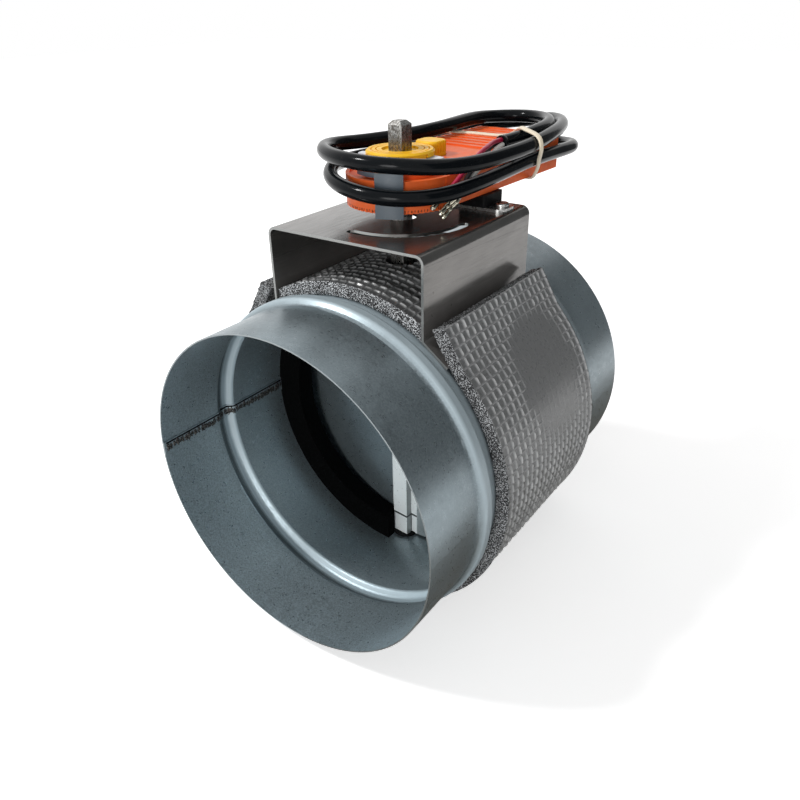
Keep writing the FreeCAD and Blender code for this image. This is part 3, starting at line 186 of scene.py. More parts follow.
class Paint:
    """A Principled material with short calls for the nodes that vary it. Places are in object space."""

    def __init__(self, name, color, roughness, metallic=0.0, **sockets):
        self.material = bpy.data.materials.new(name)
        self.material.use_nodes = True
        tree = self.material.node_tree
        self.nodes = tree.nodes
        self.links = tree.links
        self.shader = self.nodes["Principled BSDF"]
        self.shader.inputs["Base Color"].default_value = (*color, 1.0)
        self.shader.inputs["Roughness"].default_value = roughness
        self.shader.inputs["Metallic"].default_value = metallic
        for socket, value in sockets.items():
            self.shader.inputs[socket.replace("_", " ")].default_value = value
        self.place = self.nodes.new("ShaderNodeTexCoord").outputs["Object"]

    def put(self, socket, value):
        """A link if the value is a socket, or else the constant."""
        if isinstance(value, bpy.types.NodeSocket):
            self.links.new(value, socket)
        elif hasattr(value, "__len__") and socket.type == "RGBA":
            socket.default_value = (*value[:3], 1.0)
        else:
            socket.default_value = value

    def drive(self, socket, value):
        """Sets an input of the shader."""
        self.put(self.shader.inputs[socket], value)

    def stretched(self, stretch):
        """Object place scaled along each axis."""
        node = self.nodes.new("ShaderNodeMapping")
        self.links.new(self.place, node.inputs["Vector"])
        node.inputs["Scale"].default_value = stretch
        return node.outputs["Vector"]

    def noise(self, size, detail=2.0, stretch=None, distortion=0.0):
        """Noise whose features are about size millimetres across."""
        node = self.nodes.new("ShaderNodeTexNoise")
        self.links.new(self.stretched(stretch) if stretch else self.place, node.inputs["Vector"])
        node.inputs["Scale"].default_value = 1 / (size * MM)
        node.inputs["Detail"].default_value = detail
        node.inputs["Distortion"].default_value = distortion
        return node.outputs["Fac"]

    def cell_edges(self, size):
        """Distance to the borders of cells that are about size millimetres across."""
        node = self.nodes.new("ShaderNodeTexVoronoi")
        node.feature = "DISTANCE_TO_EDGE"
        self.links.new(self.place, node.inputs["Vector"])
        node.inputs["Scale"].default_value = 1 / (size * MM)
        return node.outputs["Distance"]

    def remap(self, value, low, high, to_low=0.0, to_high=1.0):
        """Straight change from one range to another, held at both ends."""
        node = self.nodes.new("ShaderNodeMapRange")
        self.links.new(value, node.inputs["Value"])
        numbers = {"From Min": low, "From Max": high, "To Min": to_low, "To Max": to_high}
        for socket, number in numbers.items():
            node.inputs[socket].default_value = number
        return node.outputs["Result"]

    def fade(self, value, span, to_low=0.0, to_high=1.0):
        """The same over a span in millimetres."""
        return self.remap(value, span[0] * MM, span[1] * MM, to_low, to_high)

    def math(self, operation, *values):
        """Math node on sockets and numbers."""
        node = self.nodes.new("ShaderNodeMath")
        node.operation = operation
        for socket, value in zip(node.inputs, values):
            self.put(socket, value)
        return node.outputs[0]

    def all_of(self, *masks):
        """Product of masks and numbers."""
        total = masks[0]
        for mask in masks[1:]:
            total = self.math("MULTIPLY", total, mask)
        return total

    def mix(self, share, low, high, kind="MIX"):
        """Colour between low and high."""
        node = self.nodes.new("ShaderNodeMix")
        node.data_type = "RGBA"
        node.blend_type = kind
        self.put(node.inputs["Factor"], share)
        self.put(node.inputs[6], low)
        self.put(node.inputs[7], high)
        return node.outputs[2]

    def grey(self, value):
        """Grey colour of a number."""
        node = self.nodes.new("ShaderNodeCombineColor")
        for socket in node.inputs:
            self.put(socket, value)
        return node.outputs[0]

    def part(self, vector, name):
        """One part of a vector."""
        node = self.nodes.new("ShaderNodeSeparateXYZ")
        self.links.new(vector, node.inputs[0])
        return node.outputs[name]

    def at(self, name):
        """One part of the surface's place."""
        return self.part(self.place, name)

    def normal(self, name):
        """One part of the surface's normal."""
        return self.part(self.nodes.new("ShaderNodeTexCoord").outputs["Normal"], name)

    def facing(self, name):
        """How squarely the surface faces along an axis, either way."""
        return self.math("ABSOLUTE", self.normal(name))

    def facing_axis(self):
        """1 on the side of a round wall that faces the duct's axis, and 0 outside."""
        across = self.all_of(self.normal("X"), self.at("X"))
        up = self.all_of(self.normal("Z"), self.at("Z"))
        return self.remap(self.math("ADD", across, up), -0.03, -0.06)

    def behind_shaft(self):
        """Distance along the duct from the shaft, negative in front of it."""
        return self.math("ADD", self.at("Y"), -SHAFT_Y * MM)

    def shaft_reach(self):
        """Distance from the shaft's axis."""
        across = self.math("POWER", self.at("X"), 2.0)
        along = self.math("POWER", self.behind_shaft(), 2.0)
        return self.math("SQRT", self.math("ADD", across, along))

    def away(self, value, middle):
        """How far a value is from a middle in millimetres."""
        return self.math("ABSOLUTE", self.math("ADD", value, -middle * MM))

    def stripe(self, value, middle, half, fade):
        """1 within half of the middle and 0 past the fade beyond it, in millimetres."""
        return self.fade(self.away(value, middle), (half, half + fade), 1.0, 0.0)

    def nose_notch_shade(self):
        """Painted shade of a row of small notches round the lower edge of the actuator's nose, dark marks on
        a smooth face.
        """
        along = self.behind_shaft()
        turn = self.all_of(self.math("ARCTAN2", self.at("X"), along), TEETH / (2 * pi))
        share = self.math("ABSOLUTE", self.math("ADD", self.math("FRACT", turn), -0.5))
        return self.all_of(
            self.remap(share, 0.14, 0.26, 0.85, 0.0),
            self.stripe(self.at("Z"), TEETH_Z, 0.4, 0.25),
            self.fade(self.shaft_reach(), TEETH_REACH),
            self.fade(along, TEETH_BEHIND, 1.0, 0.0),
        )

    def bump(self, height, depth, strength=1.0):
        """Bumps up to depth millimetres high."""
        node = self.nodes.new("ShaderNodeBump")
        node.inputs["Strength"].default_value = strength
        node.inputs["Distance"].default_value = depth * MM
        self.links.new(height, node.inputs["Height"])
        self.links.new(node.outputs["Normal"], self.shader.inputs["Normal"])
        return self


def zinc_skin(paint, base, grain):
    """Hazy zinc with rolled lines and bright specks."""
    haze = paint.noise(46.0, 3.0)
    rolled = paint.noise(9.0, 4.0, (0.12, 1.0, 0.12))
    color = paint.mix(paint.remap(haze, 0.36, 0.66), shade(base, 0.82), shade(base, 1.2))
    color = paint.mix(paint.remap(rolled, 0.4, 0.7, 0.0, 0.3), color, shade(base, 1.25))
    return paint.mix(paint.remap(grain, 0.4, 0.66, 0.0, 0.3), color, shade(base, 1.7))


def bead_painted_light(paint, color, grain, place, near):
    """Colour and metallic share with painted light: a paler inside towards the open front, painted
    highlights on the beads and painted shade in a band beside them on the inside.
    """
    inside = paint.facing_axis()
    outside = paint.math("SUBTRACT", 1.0, inside)
    bright = paint.mix(paint.remap(grain, 0.42, 0.6), shade(ZINC, 1.5), shade(ZINC, 2.1))
    # Painted light: the inside is paler near the open front and darker deeper in.
    front = paint.fade(paint.at("Y"), FRONT_LIGHT_FADE, 0.9, 0.35)
    color = paint.mix(paint.all_of(inside, front), color, bright)
    # Painted highlight on the outer band round each bead, weaker on the rear bead.
    rear = paint.fade(paint.at("Y"), REAR_HIGHLIGHT_FADE, 1.0, 0.3)
    band = paint.all_of(outside, paint.fade(near, (5.5, 7.5), 1.0, 0.0), rear)
    color = paint.mix(band, color, shade(ZINC, 1.75))
    # Painted highlight on the inner bead's crest.
    crest = paint.all_of(inside, paint.stripe(place, INNER_CREST_HIGHLIGHT, 2.8, 0.5))
    color = paint.mix(crest, color, shade(ZINC, 2.1))
    # Painted shade in a band beside the inner bead.
    groove = paint.all_of(inside, paint.stripe(place, INNER_GROOVE_SHADE, 1.7, 0.8))
    color = paint.mix(groove, color, shade(ZINC, 0.55))
    less = paint.remap(crest, 0.0, 1.0, 0.0, -0.25)
    return color, paint.math("ADD", paint.remap(band, 0.0, 1.0, 0.75, 0.2), less)


def painted_channel_light_and_seam(paint, color):
    """Colour and metallic share of the blade: painted highlight on the pressed channel, painted shade on its
    side faces, a painted sheen strip beside it, and the sleeves' seam.
    """
    pressed = paint.fade(paint.shaft_reach(), (CHANNEL, CHANNEL + CHANNEL_FADE), 1.0, 0.0)
    side = paint.at("X")
    # Painted sheen: a paler strip to the right of the channel.
    strip = paint.fade(side, (CHANNEL, CHANNEL + SHEEN_STRIP), 0.9, 0.0)
    color = paint.mix(paint.all_of(strip, paint.fade(side, (0.0, 1.0))), color, (0.6, 0.65, 0.65))
    # Painted highlight over the pressed channel.
    color = paint.mix(pressed, color, (0.95, 1.0, 1.0))
    # Painted shade on the channel's side faces.
    wall = paint.remap(paint.facing("X"), 0.8, 0.95, 0.0, 0.85)
    color = paint.mix(paint.all_of(pressed, wall), color, (0.1, 0.115, 0.115))
    height = paint.math("ABSOLUTE", paint.at("Z"))
    seam = paint.stripe(height, SLEEVE_START, SEAM_HALF, 0.2)
    color = paint.mix(paint.all_of(pressed, seam), color, (0.02, 0.025, 0.03))
    return color, paint.remap(pressed, 0.0, 1.0, 0.75, 0.3)


def galvanised(name, level=1.0, channel=False):
    """Zinc coated sheet with fine speckled grain, of the duct or of the blade with its channel."""
    base = shade(ZINC, level)
    paint = Paint(name, base, 0.34, 0.75)
    grain = paint.noise(0.8, 2.0)
    place = paint.math("ABSOLUTE", paint.behind_shaft())
    near = paint.away(place, BEAD_HIGHLIGHT)
    color, metal = bead_painted_light(paint, zinc_skin(paint, base, grain), grain, place, near)
    if channel:
        color, metal = painted_channel_light_and_seam(paint, color)
    else:
        cut_edge = paint.remap(paint.facing("Y"), 0.9, 0.99)
        color = paint.mix(cut_edge, color, (0.26, 0.29, 0.3))
    paint.drive("Base Color", color)
    paint.drive("Metallic", metal)
    rough = paint.remap(paint.noise(2.4, 4.0), 0.3, 0.7, 0.27, 0.39)
    rough = paint.math("ADD", rough, paint.fade(near, (2.0, 9.0), 0.14, 0.0))
    paint.drive("Roughness", paint.math("ADD", rough, paint.remap(grain, 0.3, 0.7, -0.04, 0.06)))
    return paint.bump(grain, 0.008, 0.3).material


def console_steel():
    """Rolled sheet: drawn lines, a dark broken line below each bend, small scratches, light edges, and
    painted light across it, lightest at the left edge and darkest through the middle.
    """
    paint = Paint("console_steel", STEEL, 0.2, 1.0)
    lines = paint.noise(0.45, 3.0, (1.0, 0.03, 1.0))
    haze = paint.noise(26.0, 3.0)
    color = paint.mix(paint.remap(haze, 0.32, 0.68), shade(STEEL, 0.86), shade(STEEL, 1.1))
    # Painted light and shade: lightest at the left edge, darkest through the middle, lighter again at the
    # right edge.
    across = paint.at("X")
    left = paint.fade(across, LEFT_LIGHT_FADE, 1.0, 0.55)
    tone = paint.math("MAXIMUM", left, paint.fade(across, RIGHT_LIGHT_FADE, 0.55, 0.85))
    color = paint.mix(1.0, color, paint.grey(tone), "MULTIPLY")
    color = paint.mix(paint.remap(lines, 0.4, 0.7, 0.0, 0.22), color, shade(STEEL, 1.35))
    height = paint.at("Z")
    paint.drive("Metallic", paint.fade(height, LEG_FADE, 0.4, 0.8))
    # A dark broken line just below each bend.
    level = paint.math("ADD", height, paint.all_of(paint.at("Y"), BEND_LINE_SLOPE))
    line = paint.away(level, BEND_LINE_Z)
    broken = paint.remap(paint.noise(2.2, 2.0, (0.0, 1.0, 0.0)), 0.42, 0.5)
    bend_line = paint.all_of(paint.fade(line, (0.0, BEND_LINE_HALF), 0.75, 0.0), broken)
    color = paint.mix(bend_line, color, (0.03, 0.03, 0.03))
    scratch = paint.remap(paint.noise(2.6, 3.0, (1.0, 1.0, 0.28), 0.8), 0.735, 0.76, 0.0, 0.8)
    color = paint.mix(scratch, color, (0.04, 0.035, 0.03))
    edge = paint.remap(paint.facing("Y"), 0.9, 0.99)
    paint.drive("Base Color", paint.mix(edge, color, (0.24, 0.245, 0.24)))
    paint.drive("Roughness", paint.remap(paint.noise(1.2, 5.0, (1.0, 0.1, 1.0)), 0.3, 0.7, 0.14, 0.26))
    return paint.bump(lines, 0.006, 0.5).material


def shaft_steel():
    """Square bar with a pitted mill skin and drawn lines along it."""
    paint = Paint("shaft_steel", (0.34, 0.335, 0.32), 0.3, 1.0)
    pits = paint.noise(0.9, 4.0, (1.0, 1.0, 0.6), 0.5)
    drawn = paint.noise(0.8, 3.0, (1.0, 1.0, 0.05))
    color = paint.mix(paint.remap(pits, 0.42, 0.56), (0.13, 0.125, 0.115), (0.48, 0.48, 0.46))
    color = paint.mix(paint.remap(drawn, 0.42, 0.6, 0.0, 0.45), color, (0.16, 0.14, 0.13))
    paint.drive("Base Color", color)
    paint.drive("Roughness", paint.remap(pits, 0.4, 0.6, 0.46, 0.24))
    return paint.bump(paint.math("ADD", pits, paint.all_of(drawn, 0.4)), 0.12, 0.8).material


def plated(name, color, roughness=0.25):
    """Plated metal with dull worn places."""
    paint = Paint(name, color, roughness, 1.0)
    wear = paint.noise(1.6, 4.0)
    paint.drive("Base Color", paint.mix(paint.remap(wear, 0.35, 0.65), shade(color, 0.7), color))
    paint.drive("Roughness", paint.remap(wear, 0.3, 0.7, roughness * 1.5, roughness * 0.8))
    return paint.bump(wear, 0.02, 0.5).material


def moulded(name, color, roughness=0.42, grain=0.5, depth=0.02, dust=0.06, notch_shade=False, **sockets):
    """Moulded plastic: fine grain, faint flow mottling, paler rubbed places, and painted shade of notches on
    the nose.
    """
    paint = Paint(name, color, roughness, 0.0, **sockets)
    flow = paint.noise(14.0, 3.0)
    tone = paint.mix(paint.remap(flow, 0.3, 0.7), shade(color, 0.9), shade(color, 1.06))
    # Painted shade of the nose's notches.
    if notch_shade:
        tone = paint.mix(paint.nose_notch_shade(), tone, shade(color, 0.12))
    rub = paint.remap(paint.noise(2.2, 5.0), 0.56, 0.8, 0.0, dust)
    paint.drive("Base Color", paint.mix(rub, tone, tuple(0.5 * c + 0.4 for c in color)))
    gloss = paint.noise(4.0, 3.0)
    paint.drive("Roughness", paint.remap(gloss, 0.3, 0.7, roughness * 0.85, roughness * 1.2))
    return paint.bump(paint.noise(grain, 2.0), depth, 0.6).material


def cable_jacket():
    """Black jacket, glossy, with faint waves and rubbed places."""
    paint = Paint("cable_jacket", (0.003, 0.004, 0.005), 0.2, Specular_IOR_Level=0.1)
    scuff = paint.noise(1.8, 5.0, None, 0.4)
    scuffed = paint.remap(scuff, 0.58, 0.8, 0.0, 0.4)
    paint.drive("Base Color", paint.mix(scuffed, (0.0026, 0.0036, 0.0048), (0.016, 0.016, 0.015)))
    paint.drive("Roughness", paint.remap(paint.noise(5.0, 4.0), 0.3, 0.7, 0.12, 0.18))
    return paint.bump(paint.noise(3.0, 2.0), 0.008, 0.3).material


def seal_rubber():
    """Matt black cellular rubber."""
    paint = Paint("seal_rubber", (0.002, 0.002, 0.002), 0.9, Specular_IOR_Level=0.02)
    cells = paint.noise(0.8, 3.0)
    color = paint.mix(paint.remap(cells, 0.4, 0.7), (0.001, 0.0012, 0.0012), (0.004, 0.0042, 0.0044))
    paint.drive("Base Color", color)
    return paint.bump(cells, 0.15, 0.8).material


def foam_skin(name, grey):
    """Satin film on the foam, with pale rubbed specks, painted highlights on the ridges and painted shade in
    the cells between them.
    """
    paint = Paint(name, (0.1, 0.1, 0.1), 0.34)
    haze = paint.noise(24.0, 3.0)
    color = paint.mix(paint.remap(haze, 0.3, 0.7), shade(grey, 0.85), shade(grey, 1.18))
    speck = paint.remap(paint.noise(0.7, 4.0), 0.56, 0.76, 0.0, 0.35)
    color = paint.mix(speck, color, (0.42, 0.42, 0.41))
    crest = paint.nodes.new("ShaderNodeAttribute")
    crest.attribute_name = "crest"
    level = crest.outputs["Fac"]
    # Painted shade in the low cells between the ridges.
    color = paint.mix(paint.remap(level, 0.02, 0.22), shade(grey, 0.62), color)
    # Painted highlight on the ridges' crests.
    color = paint.mix(paint.remap(level, 0.45, 0.95, 0.0, 0.7), color, (0.62, 0.625, 0.62))
    paint.drive("Base Color", color)
    paint.drive("Roughness", paint.remap(paint.noise(2.0, 4.0), 0.3, 0.7, 0.24, 0.36))
    return paint.bump(paint.noise(0.6, 3.0), 0.05, 0.5).material


def foam_cut(name, pale):
    """Cut cells: black pores and pale torn walls, finer than a millimetre."""
    paint = Paint(name, (0.1, 0.1, 0.1), 0.8)
    fine = paint.noise(0.55, 1.0)
    coarse = paint.noise(3.4, 2.0)
    height = paint.math("ADD", fine, paint.all_of(coarse, 0.22))
    color = paint.mix(paint.remap(height, 0.6, 0.72), (0.01, 0.01, 0.0105), pale)
    paint.drive("Base Color", color)
    return paint.bump(height, 0.5, 0.9).material


def burnt_weld():
    """Scorched spots with light rims, left by welding the lap."""
    paint = Paint("burnt_weld", (0.05, 0.045, 0.04), 0.5, 0.7)
    flake = paint.noise(0.7, 4.0, None, 0.8)
    color = paint.mix(paint.remap(flake, 0.48, 0.66), (0.014, 0.012, 0.011), (0.27, 0.26, 0.245))
    paint.drive("Base Color", color)
    return paint.bump(flake, 0.25, 0.8).material


def board_stage(name, color):
    """Dull card that shows only in the reflections on the object's right side."""
    paint = Paint(name, color, 0.9)
    paint.drive("Base Color", paint.mix(paint.noise(60.0, 2.0), shade(color, 0.9), shade(color, 1.1)))
    return paint.material


def circuit_green():
    """Lacquered board with tracks under the lacquer."""
    paint = Paint("circuit_green", (0.02, 0.11, 0.05), 0.3)
    tracks = paint.cell_edges(3.2)
    color = paint.mix(paint.remap(tracks, 0.05, 0.09), (0.04, 0.2, 0.08), (0.016, 0.09, 0.04))
    paint.drive("Base Color", color)
    return paint.bump(tracks, 0.03, 0.5).material


MATERIALS = {
    "galvanised_sheet": galvanised("galvanised_sheet"),
    "shaft_steel": shaft_steel(),
    "fastener_steel": plated("fastener_steel", (0.5, 0.5, 0.49)),
    "foam": foam_skin("foam_skin", FOAM_GREY),
    "seal_rubber": seal_rubber(),
    "black_plastic": moulded("black_plastic", (0.004, 0.004, 0.0045), 0.5, dust=0.02,
                             Specular_IOR_Level=0.08),
    "orange_plastic": moulded("orange_plastic", srgb("EC672C"), 0.42, notch_shade=True,
                              Specular_IOR_Level=0.28),
    "yellow_plastic": moulded("yellow_plastic", srgb("FFC31E"), 0.42, Specular_IOR_Level=0.28),
    "slate_plastic": moulded("slate_plastic", srgb("505B64"), 0.36),
    "white_plastic": moulded("white_plastic", srgb("D9DEE6"), 0.4, dust=0.0),
    "cable_jacket": cable_jacket(),
    "red_insulation": moulded("red_insulation", srgb("B0103F"), 0.32, dust=0.0),
    "black_insulation": moulded("black_insulation", (0.014, 0.014, 0.015), 0.32),
    "white_insulation": moulded("white_insulation", srgb("E6E5E0"), 0.32, dust=0.0),
    "ferrule_metal": plated("ferrule_metal", (0.66, 0.62, 0.5), 0.16),
    "band_rubber": moulded("band_rubber", srgb("E9DCC4"), 0.5, 0.8, 0.05, 0.0),
    "gear_plastic": moulded("gear_plastic", srgb("D8D4C6"), 0.4),
    "gear_steel": plated("gear_steel", (0.45, 0.45, 0.45)),
    "motor_can": plated("motor_can", (0.5, 0.5, 0.5), 0.2),
    "board": circuit_green(),
}
CUT_FOAM = foam_cut("foam_cut", (0.4, 0.41, 0.42))
# Painted shade: the strip's skin is the foam's grey at half, darker as it lies under the bracket. Painted
# light: its cut faces are paler than the wrap's.
STRIP_SHADED_SKIN = foam_skin("strip_shaded_skin", shade(FOAM_GREY, 0.5))
STRIP_CUT = foam_cut("strip_cut", (0.6, 0.615, 0.63))
# Painted shade: the blade's zinc is the duct's at 0.9, darker as it stands inside the duct.
BLADE = galvanised("blade_sheet", 0.9, True)
CONSOLE = console_steel()
WELD = burnt_weld()
NODE_MATERIALS = {
    "bracket": CONSOLE,
    "blade_front_sheet": BLADE,
    "blade_rear_sheet": BLADE,
    "shaft_sleeves": BLADE,
}

for node_name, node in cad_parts.items():
    for holder in node.material_slots:
        finish = holder.material.name.split(".")[0] if holder.material else ""
        holder.material = NODE_MATERIALS.get(node_name, MATERIALS.get(finish, holder.material))


def finished(obj, body, slot, *replaced):
    """Puts a piece on its body and hides what it stands for; its slot is not used."""
    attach(obj, body)
    if replaced:
        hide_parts(*replaced)
    return obj


def added(name, data):
    """New object in the scene."""
    obj = bpy.data.objects.new(name, data)
    bpy.context.scene.collection.objects.link(obj)
    return obj


def final_mesh(obj):
    """Mesh of an object with its modifiers, or of a curve with its tube."""
    bpy.context.view_layer.update()
    return bpy.data.meshes.new_from_object(obj.evaluated_get(bpy.context.evaluated_depsgraph_get()))


def mesh_object(name, vertices, faces, material, smooth=True):
    """Mesh piece with one material."""
    mesh = bpy.data.meshes.new(name)
    mesh.from_pydata([tuple(v) for v in vertices], [], faces)
    mesh.validate()
    mesh.materials.append(material)
    for polygon in mesh.polygons:
        polygon.use_smooth = smooth
    return added(name, mesh)


# Camera, light and floor

SENSOR_WIDTH = 36.0
WORLD_LIGHT = 0.42
LAMPS = (
    ("key", (-0.7, -0.55, 1.1), (0.0, 0.08, 0.05), 0.2, 12.0),
    ("back", (-0.72, 1.05, 0.75), (0.0, 0.08, 0.08), 0.85, 0.7),
    ("front", (0.35, -1.25, 0.3), (0.0, 0.05, 0.0), 0.6, 8.0),
)
FLOOR_DROP = 0.0002
FLOOR_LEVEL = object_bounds()[0][2] - FLOOR_DROP
FLOOR_HALF = 4.0
FLOOR_GLOW = 0.55
FAR_GLOW = 0.8
GLOW_FADE = (250.0, 900.0)
CARD_HEIGHT = 1.3
CARD_FOOT = ((0.95, -0.2), (0.9, 0.55), (0.4, 0.85), (0.1, 1.1))
APRON_CORNERS = ((0.0, -0.25), (0.17, -0.25), (0.17, 0.42), (0.0, 0.42))
APRON_LIFT = 0.001


def add_camera():
    """Camera at the photograph's viewing angle."""
    data = bpy.data.cameras.new("camera")
    data.lens = CAMERA_LENS
    data.sensor_width = SENSOR_WIDTH
    data.clip_start = 0.01
    camera = added("camera", data)
    camera.location = Vector(CAMERA_PLACE) * MM
    camera.rotation_euler = [radians(angle) for angle in CAMERA_TURN]
    bpy.context.scene.camera = camera


def seen_directly(tree):
    """1 for camera, mirror and transmission rays, which see the plain background."""
    rays = tree.nodes.new("ShaderNodeLightPath")
    total = rays.outputs["Is Camera Ray"]
    for kind in ("Is Glossy Ray", "Is Transmission Ray"):
        node = tree.nodes.new("ShaderNodeMath")
        node.operation = "MAXIMUM"
        tree.links.new(total, node.inputs[0])
        tree.links.new(rays.outputs[kind], node.inputs[1])
        total = node.outputs[0]
    return total


def add_world(strength):
    """Even white light, and a plain white background for the rays that see it."""
    world = bpy.data.worlds.new("studio")
    world.use_nodes = True
    bpy.context.scene.world = world
    tree = world.node_tree
    background = tree.nodes["Background"]
    background.inputs["Color"].default_value = (*WHITE, 1.0)
    node = tree.nodes.new("ShaderNodeMapRange")
    node.inputs["To Min"].default_value = strength
    node.inputs["To Max"].default_value = 1.0
    tree.links.new(seen_directly(tree), node.inputs["Value"])
    tree.links.new(node.outputs["Result"], background.inputs["Strength"])


def add_lamp(name, place, target, size, power):
    """Round soft lamp that points at a target, in metres and watts."""
    data = bpy.data.lights.new(name, "AREA")
    data.shape = "DISK"
    data.size = size
    data.energy = power
    lamp = added(name, data)
    lamp.location = place
    lamp.rotation_euler = (Vector(target) - Vector(place)).to_track_quat("-Z", "Y").to_euler()


def add_floor(level):
    """Pale floor that turns plain white away from the object, for the rays that see the background."""
    half = FLOOR_HALF
    corners = [(-half, -half, level), (half, -half, level), (half, half, level), (-half, half, level)]
    paint = Paint("floor", (0.82, 0.82, 0.82), 0.9)
    sheet = mesh_object("floor", corners, [(0, 1, 2, 3)], paint.material, False)
    paint.drive("Base Color", paint.mix(paint.noise(40.0, 2.0), (0.8, 0.8, 0.8), (0.83, 0.83, 0.83)))
    paint.drive("Emission Color", WHITE)
    reach = paint.nodes.new("ShaderNodeVectorMath")
    reach.operation = "LENGTH"
    paint.links.new(paint.place, reach.inputs[0])
    glow = paint.fade(reach.outputs["Value"], GLOW_FADE, FLOOR_GLOW, FAR_GLOW)
    paint.drive("Emission Strength", paint.all_of(seen_directly(paint.material.node_tree), glow))


def add_card(level):
    """Upright card behind the right side and a brown sheet before it, seen only in reflections."""
    count = len(CARD_FOOT)
    posts = [(x, y, z) for z in (level, level + CARD_HEIGHT) for x, y in CARD_FOOT]
    faces = [(k, k + 1, k + 1 + count, k + count) for k in range(count - 1)]
    card = mesh_object("shade_card", posts, faces, board_stage("shade_card", CARD_GREY), False)
    corners = [(x, y, level + APRON_LIFT) for x, y in APRON_CORNERS]
    apron_card = board_stage("shade_apron", APRON_BROWN)
    apron = mesh_object("shade_apron", corners, [(0, 1, 2, 3)], apron_card, False)
    for board in (card, apron):
        board.visible_camera = False
        board.visible_shadow = False
        board.visible_diffuse = False


bpy.context.scene.view_settings.view_transform = "Standard"
add_camera()
add_world(WORLD_LIGHT)
for lamp in LAMPS:
    add_lamp(*lamp)
add_floor(FLOOR_LEVEL)
add_card(FLOOR_LEVEL)


# Cable, wires and band

def spline_object(name, route, diameter, material, tapers=()):
    """Smooth tube on a route of control points, whose first few may be thinner."""
    data = bpy.data.curves.new(name, "CURVE")
    data.dimensions = "3D"
    data.resolution_u = 10
    data.bevel_depth = diameter / 2 * MM
    data.bevel_resolution = 8
    data.use_fill_caps = True
    spline = data.splines.new("NURBS")
    spline.points.add(len(route) - 1)
    for point, place in zip(spline.points, metres(route)):
        point.co = (*place, 1.0)
    for point, share in zip(spline.points, tapers):
        point.radius = share
    spline.order_u = 3
    spline.use_endpoint_u = True
    data.materials.append(material)
    return added(name, data)


def placed_along(piece, end, before):
    """Stands a turned piece on a point, with its axis along the way that leads there."""
    piece.location = end
    piece.rotation_euler = (end - before).to_track_quat("Z", "Y").to_euler()


def lathe(name, profile, material, segments=32):
    """Surface turned about Z from (height, radius) pairs in millimetres, closed at both ends."""
    vertices, faces = [], []
    for z, radius in profile:
        for k in range(segments):
            angle = 2 * pi * k / segments
            vertices.append(Vector((radius * cos(angle), radius * sin(angle), z)) * MM)
    for row in range(len(profile) - 1):
        for k in range(segments):
            a, b = row * segments + k, row * segments + (k + 1) % segments
            faces.append((a, b, b + segments, a + segments))
    faces.append(tuple(reversed(range(segments))))
    faces.append(tuple(range((len(profile) - 1) * segments, len(profile) * segments)))
    return mesh_object(name, vertices, faces, material)


MOUTH_PROFILE = [(-1.2, 3.0), (-1.2, 3.43), (-0.1, 3.48), (0.25, 3.4), (0.4, 3.2), (0.35, 2.95),
                 (-0.4, 2.88), (-0.8, 2.8), (-0.8, 0.2)]

cable = spline_object("supply_cable", CABLE_ROUTE, CABLE_D, MATERIALS["cable_jacket"], GLAND_TAPER)
finished(cable, "duct", "cable_jacket", "power_cable")
mouth = lathe("sheath_mouth", MOUTH_PROFILE, MATERIALS["cable_jacket"])
placed_along(mouth, metres(CABLE_ROUTE)[-1], metres(CABLE_ROUTE)[-2])
finished(mouth, "duct", "cable_jacket")

FERRULE_PROFILE = [(-0.2, 1.1), (-0.2, 1.4), (0.0, 1.52), (2.2, 1.52), (2.4, 1.4), (2.6, 1.24),
                   (4.4, 1.24), (4.65, 1.06), (5.6, 1.06), (5.85, 1.24), (7.3, 1.24), (7.55, 1.06),
                   (8.5, 1.06), (8.75, 1.24), (11.6, 1.24), (11.9, 1.14), (11.95, 0.95), (11.2, 0.9),
                   (11.2, 0.3)]
CRIMPS = ((4.5, 5.7), (7.4, 8.6))
CRIMP_THIN = 0.84
CRIMP_WIDE = 1.1


def ferrule(core, route):
    """Crimped sleeve that caps a wire, flattened where the tool pressed it."""
    points = metres(route)
    piece = lathe(core.replace("core", "ferrule"), FERRULE_PROFILE, MATERIALS["ferrule_metal"], 20)
    for vertex in piece.data.vertices:
        z = vertex.co.z / MM
        if any(low < z < high for low, high in CRIMPS):
            vertex.co.x *= CRIMP_THIN
            vertex.co.y *= CRIMP_WIDE
    placed_along(piece, points[-1], points[-2])
    return piece


CORES = (
    ("core_red", "red_insulation", 0.052),
    ("core_black", "black_insulation", 0.0502),
    ("core_white", "white_insulation", 0.0465),
)
for core, slot, length in CORES:
    route = CORE_ROUTES[core]
    wire = spline_object(core.replace("core", "wire"), route, CORE_D, MATERIALS[slot])
    finished(wire, "duct", slot, core)
    tip = finished(ferrule(core, route), "duct", "ferrule_metal", "wire_ferrules")


# Foam

# Waffle: ridges across the wrap are dashes that stop at the ridges along it
CELL = 4.75
CELL_STEPS = (0.0, 0.06, 0.12, 0.19, 0.32, 0.5, 0.68, 0.81, 0.88, 0.94)
DASH = 0.95
DASH_HALF = 0.85
DASH_BREAK = 0.8
LINE = 0.5
LINE_HALF = 0.5
PILLOW = 0.14
SWELL = 0.12
SKIN_DROP = DASH + 0.2
EDGE_ROUND = 1.2
PATCH_ALONG = 44.0
PATCH_ACROSS = 58.0
PATCH_HALF = (34.0, 28.0)
PATCH_FLAT = 0.93
CUT_ROWS = 12
TORN = 0.4
FOAM_CLEAR = 0.1
FLAP_TIP = (45.6, 75.03)
FLAP_OUTER_TIP = (51.72, 77.5)
FLAP_ROUNDS = 12
STRIP_CLEAR = 0.3
STRIP_STEP = 0.5
SHAFT_HOLE_R = 8.0
HOLE_PAST = 3


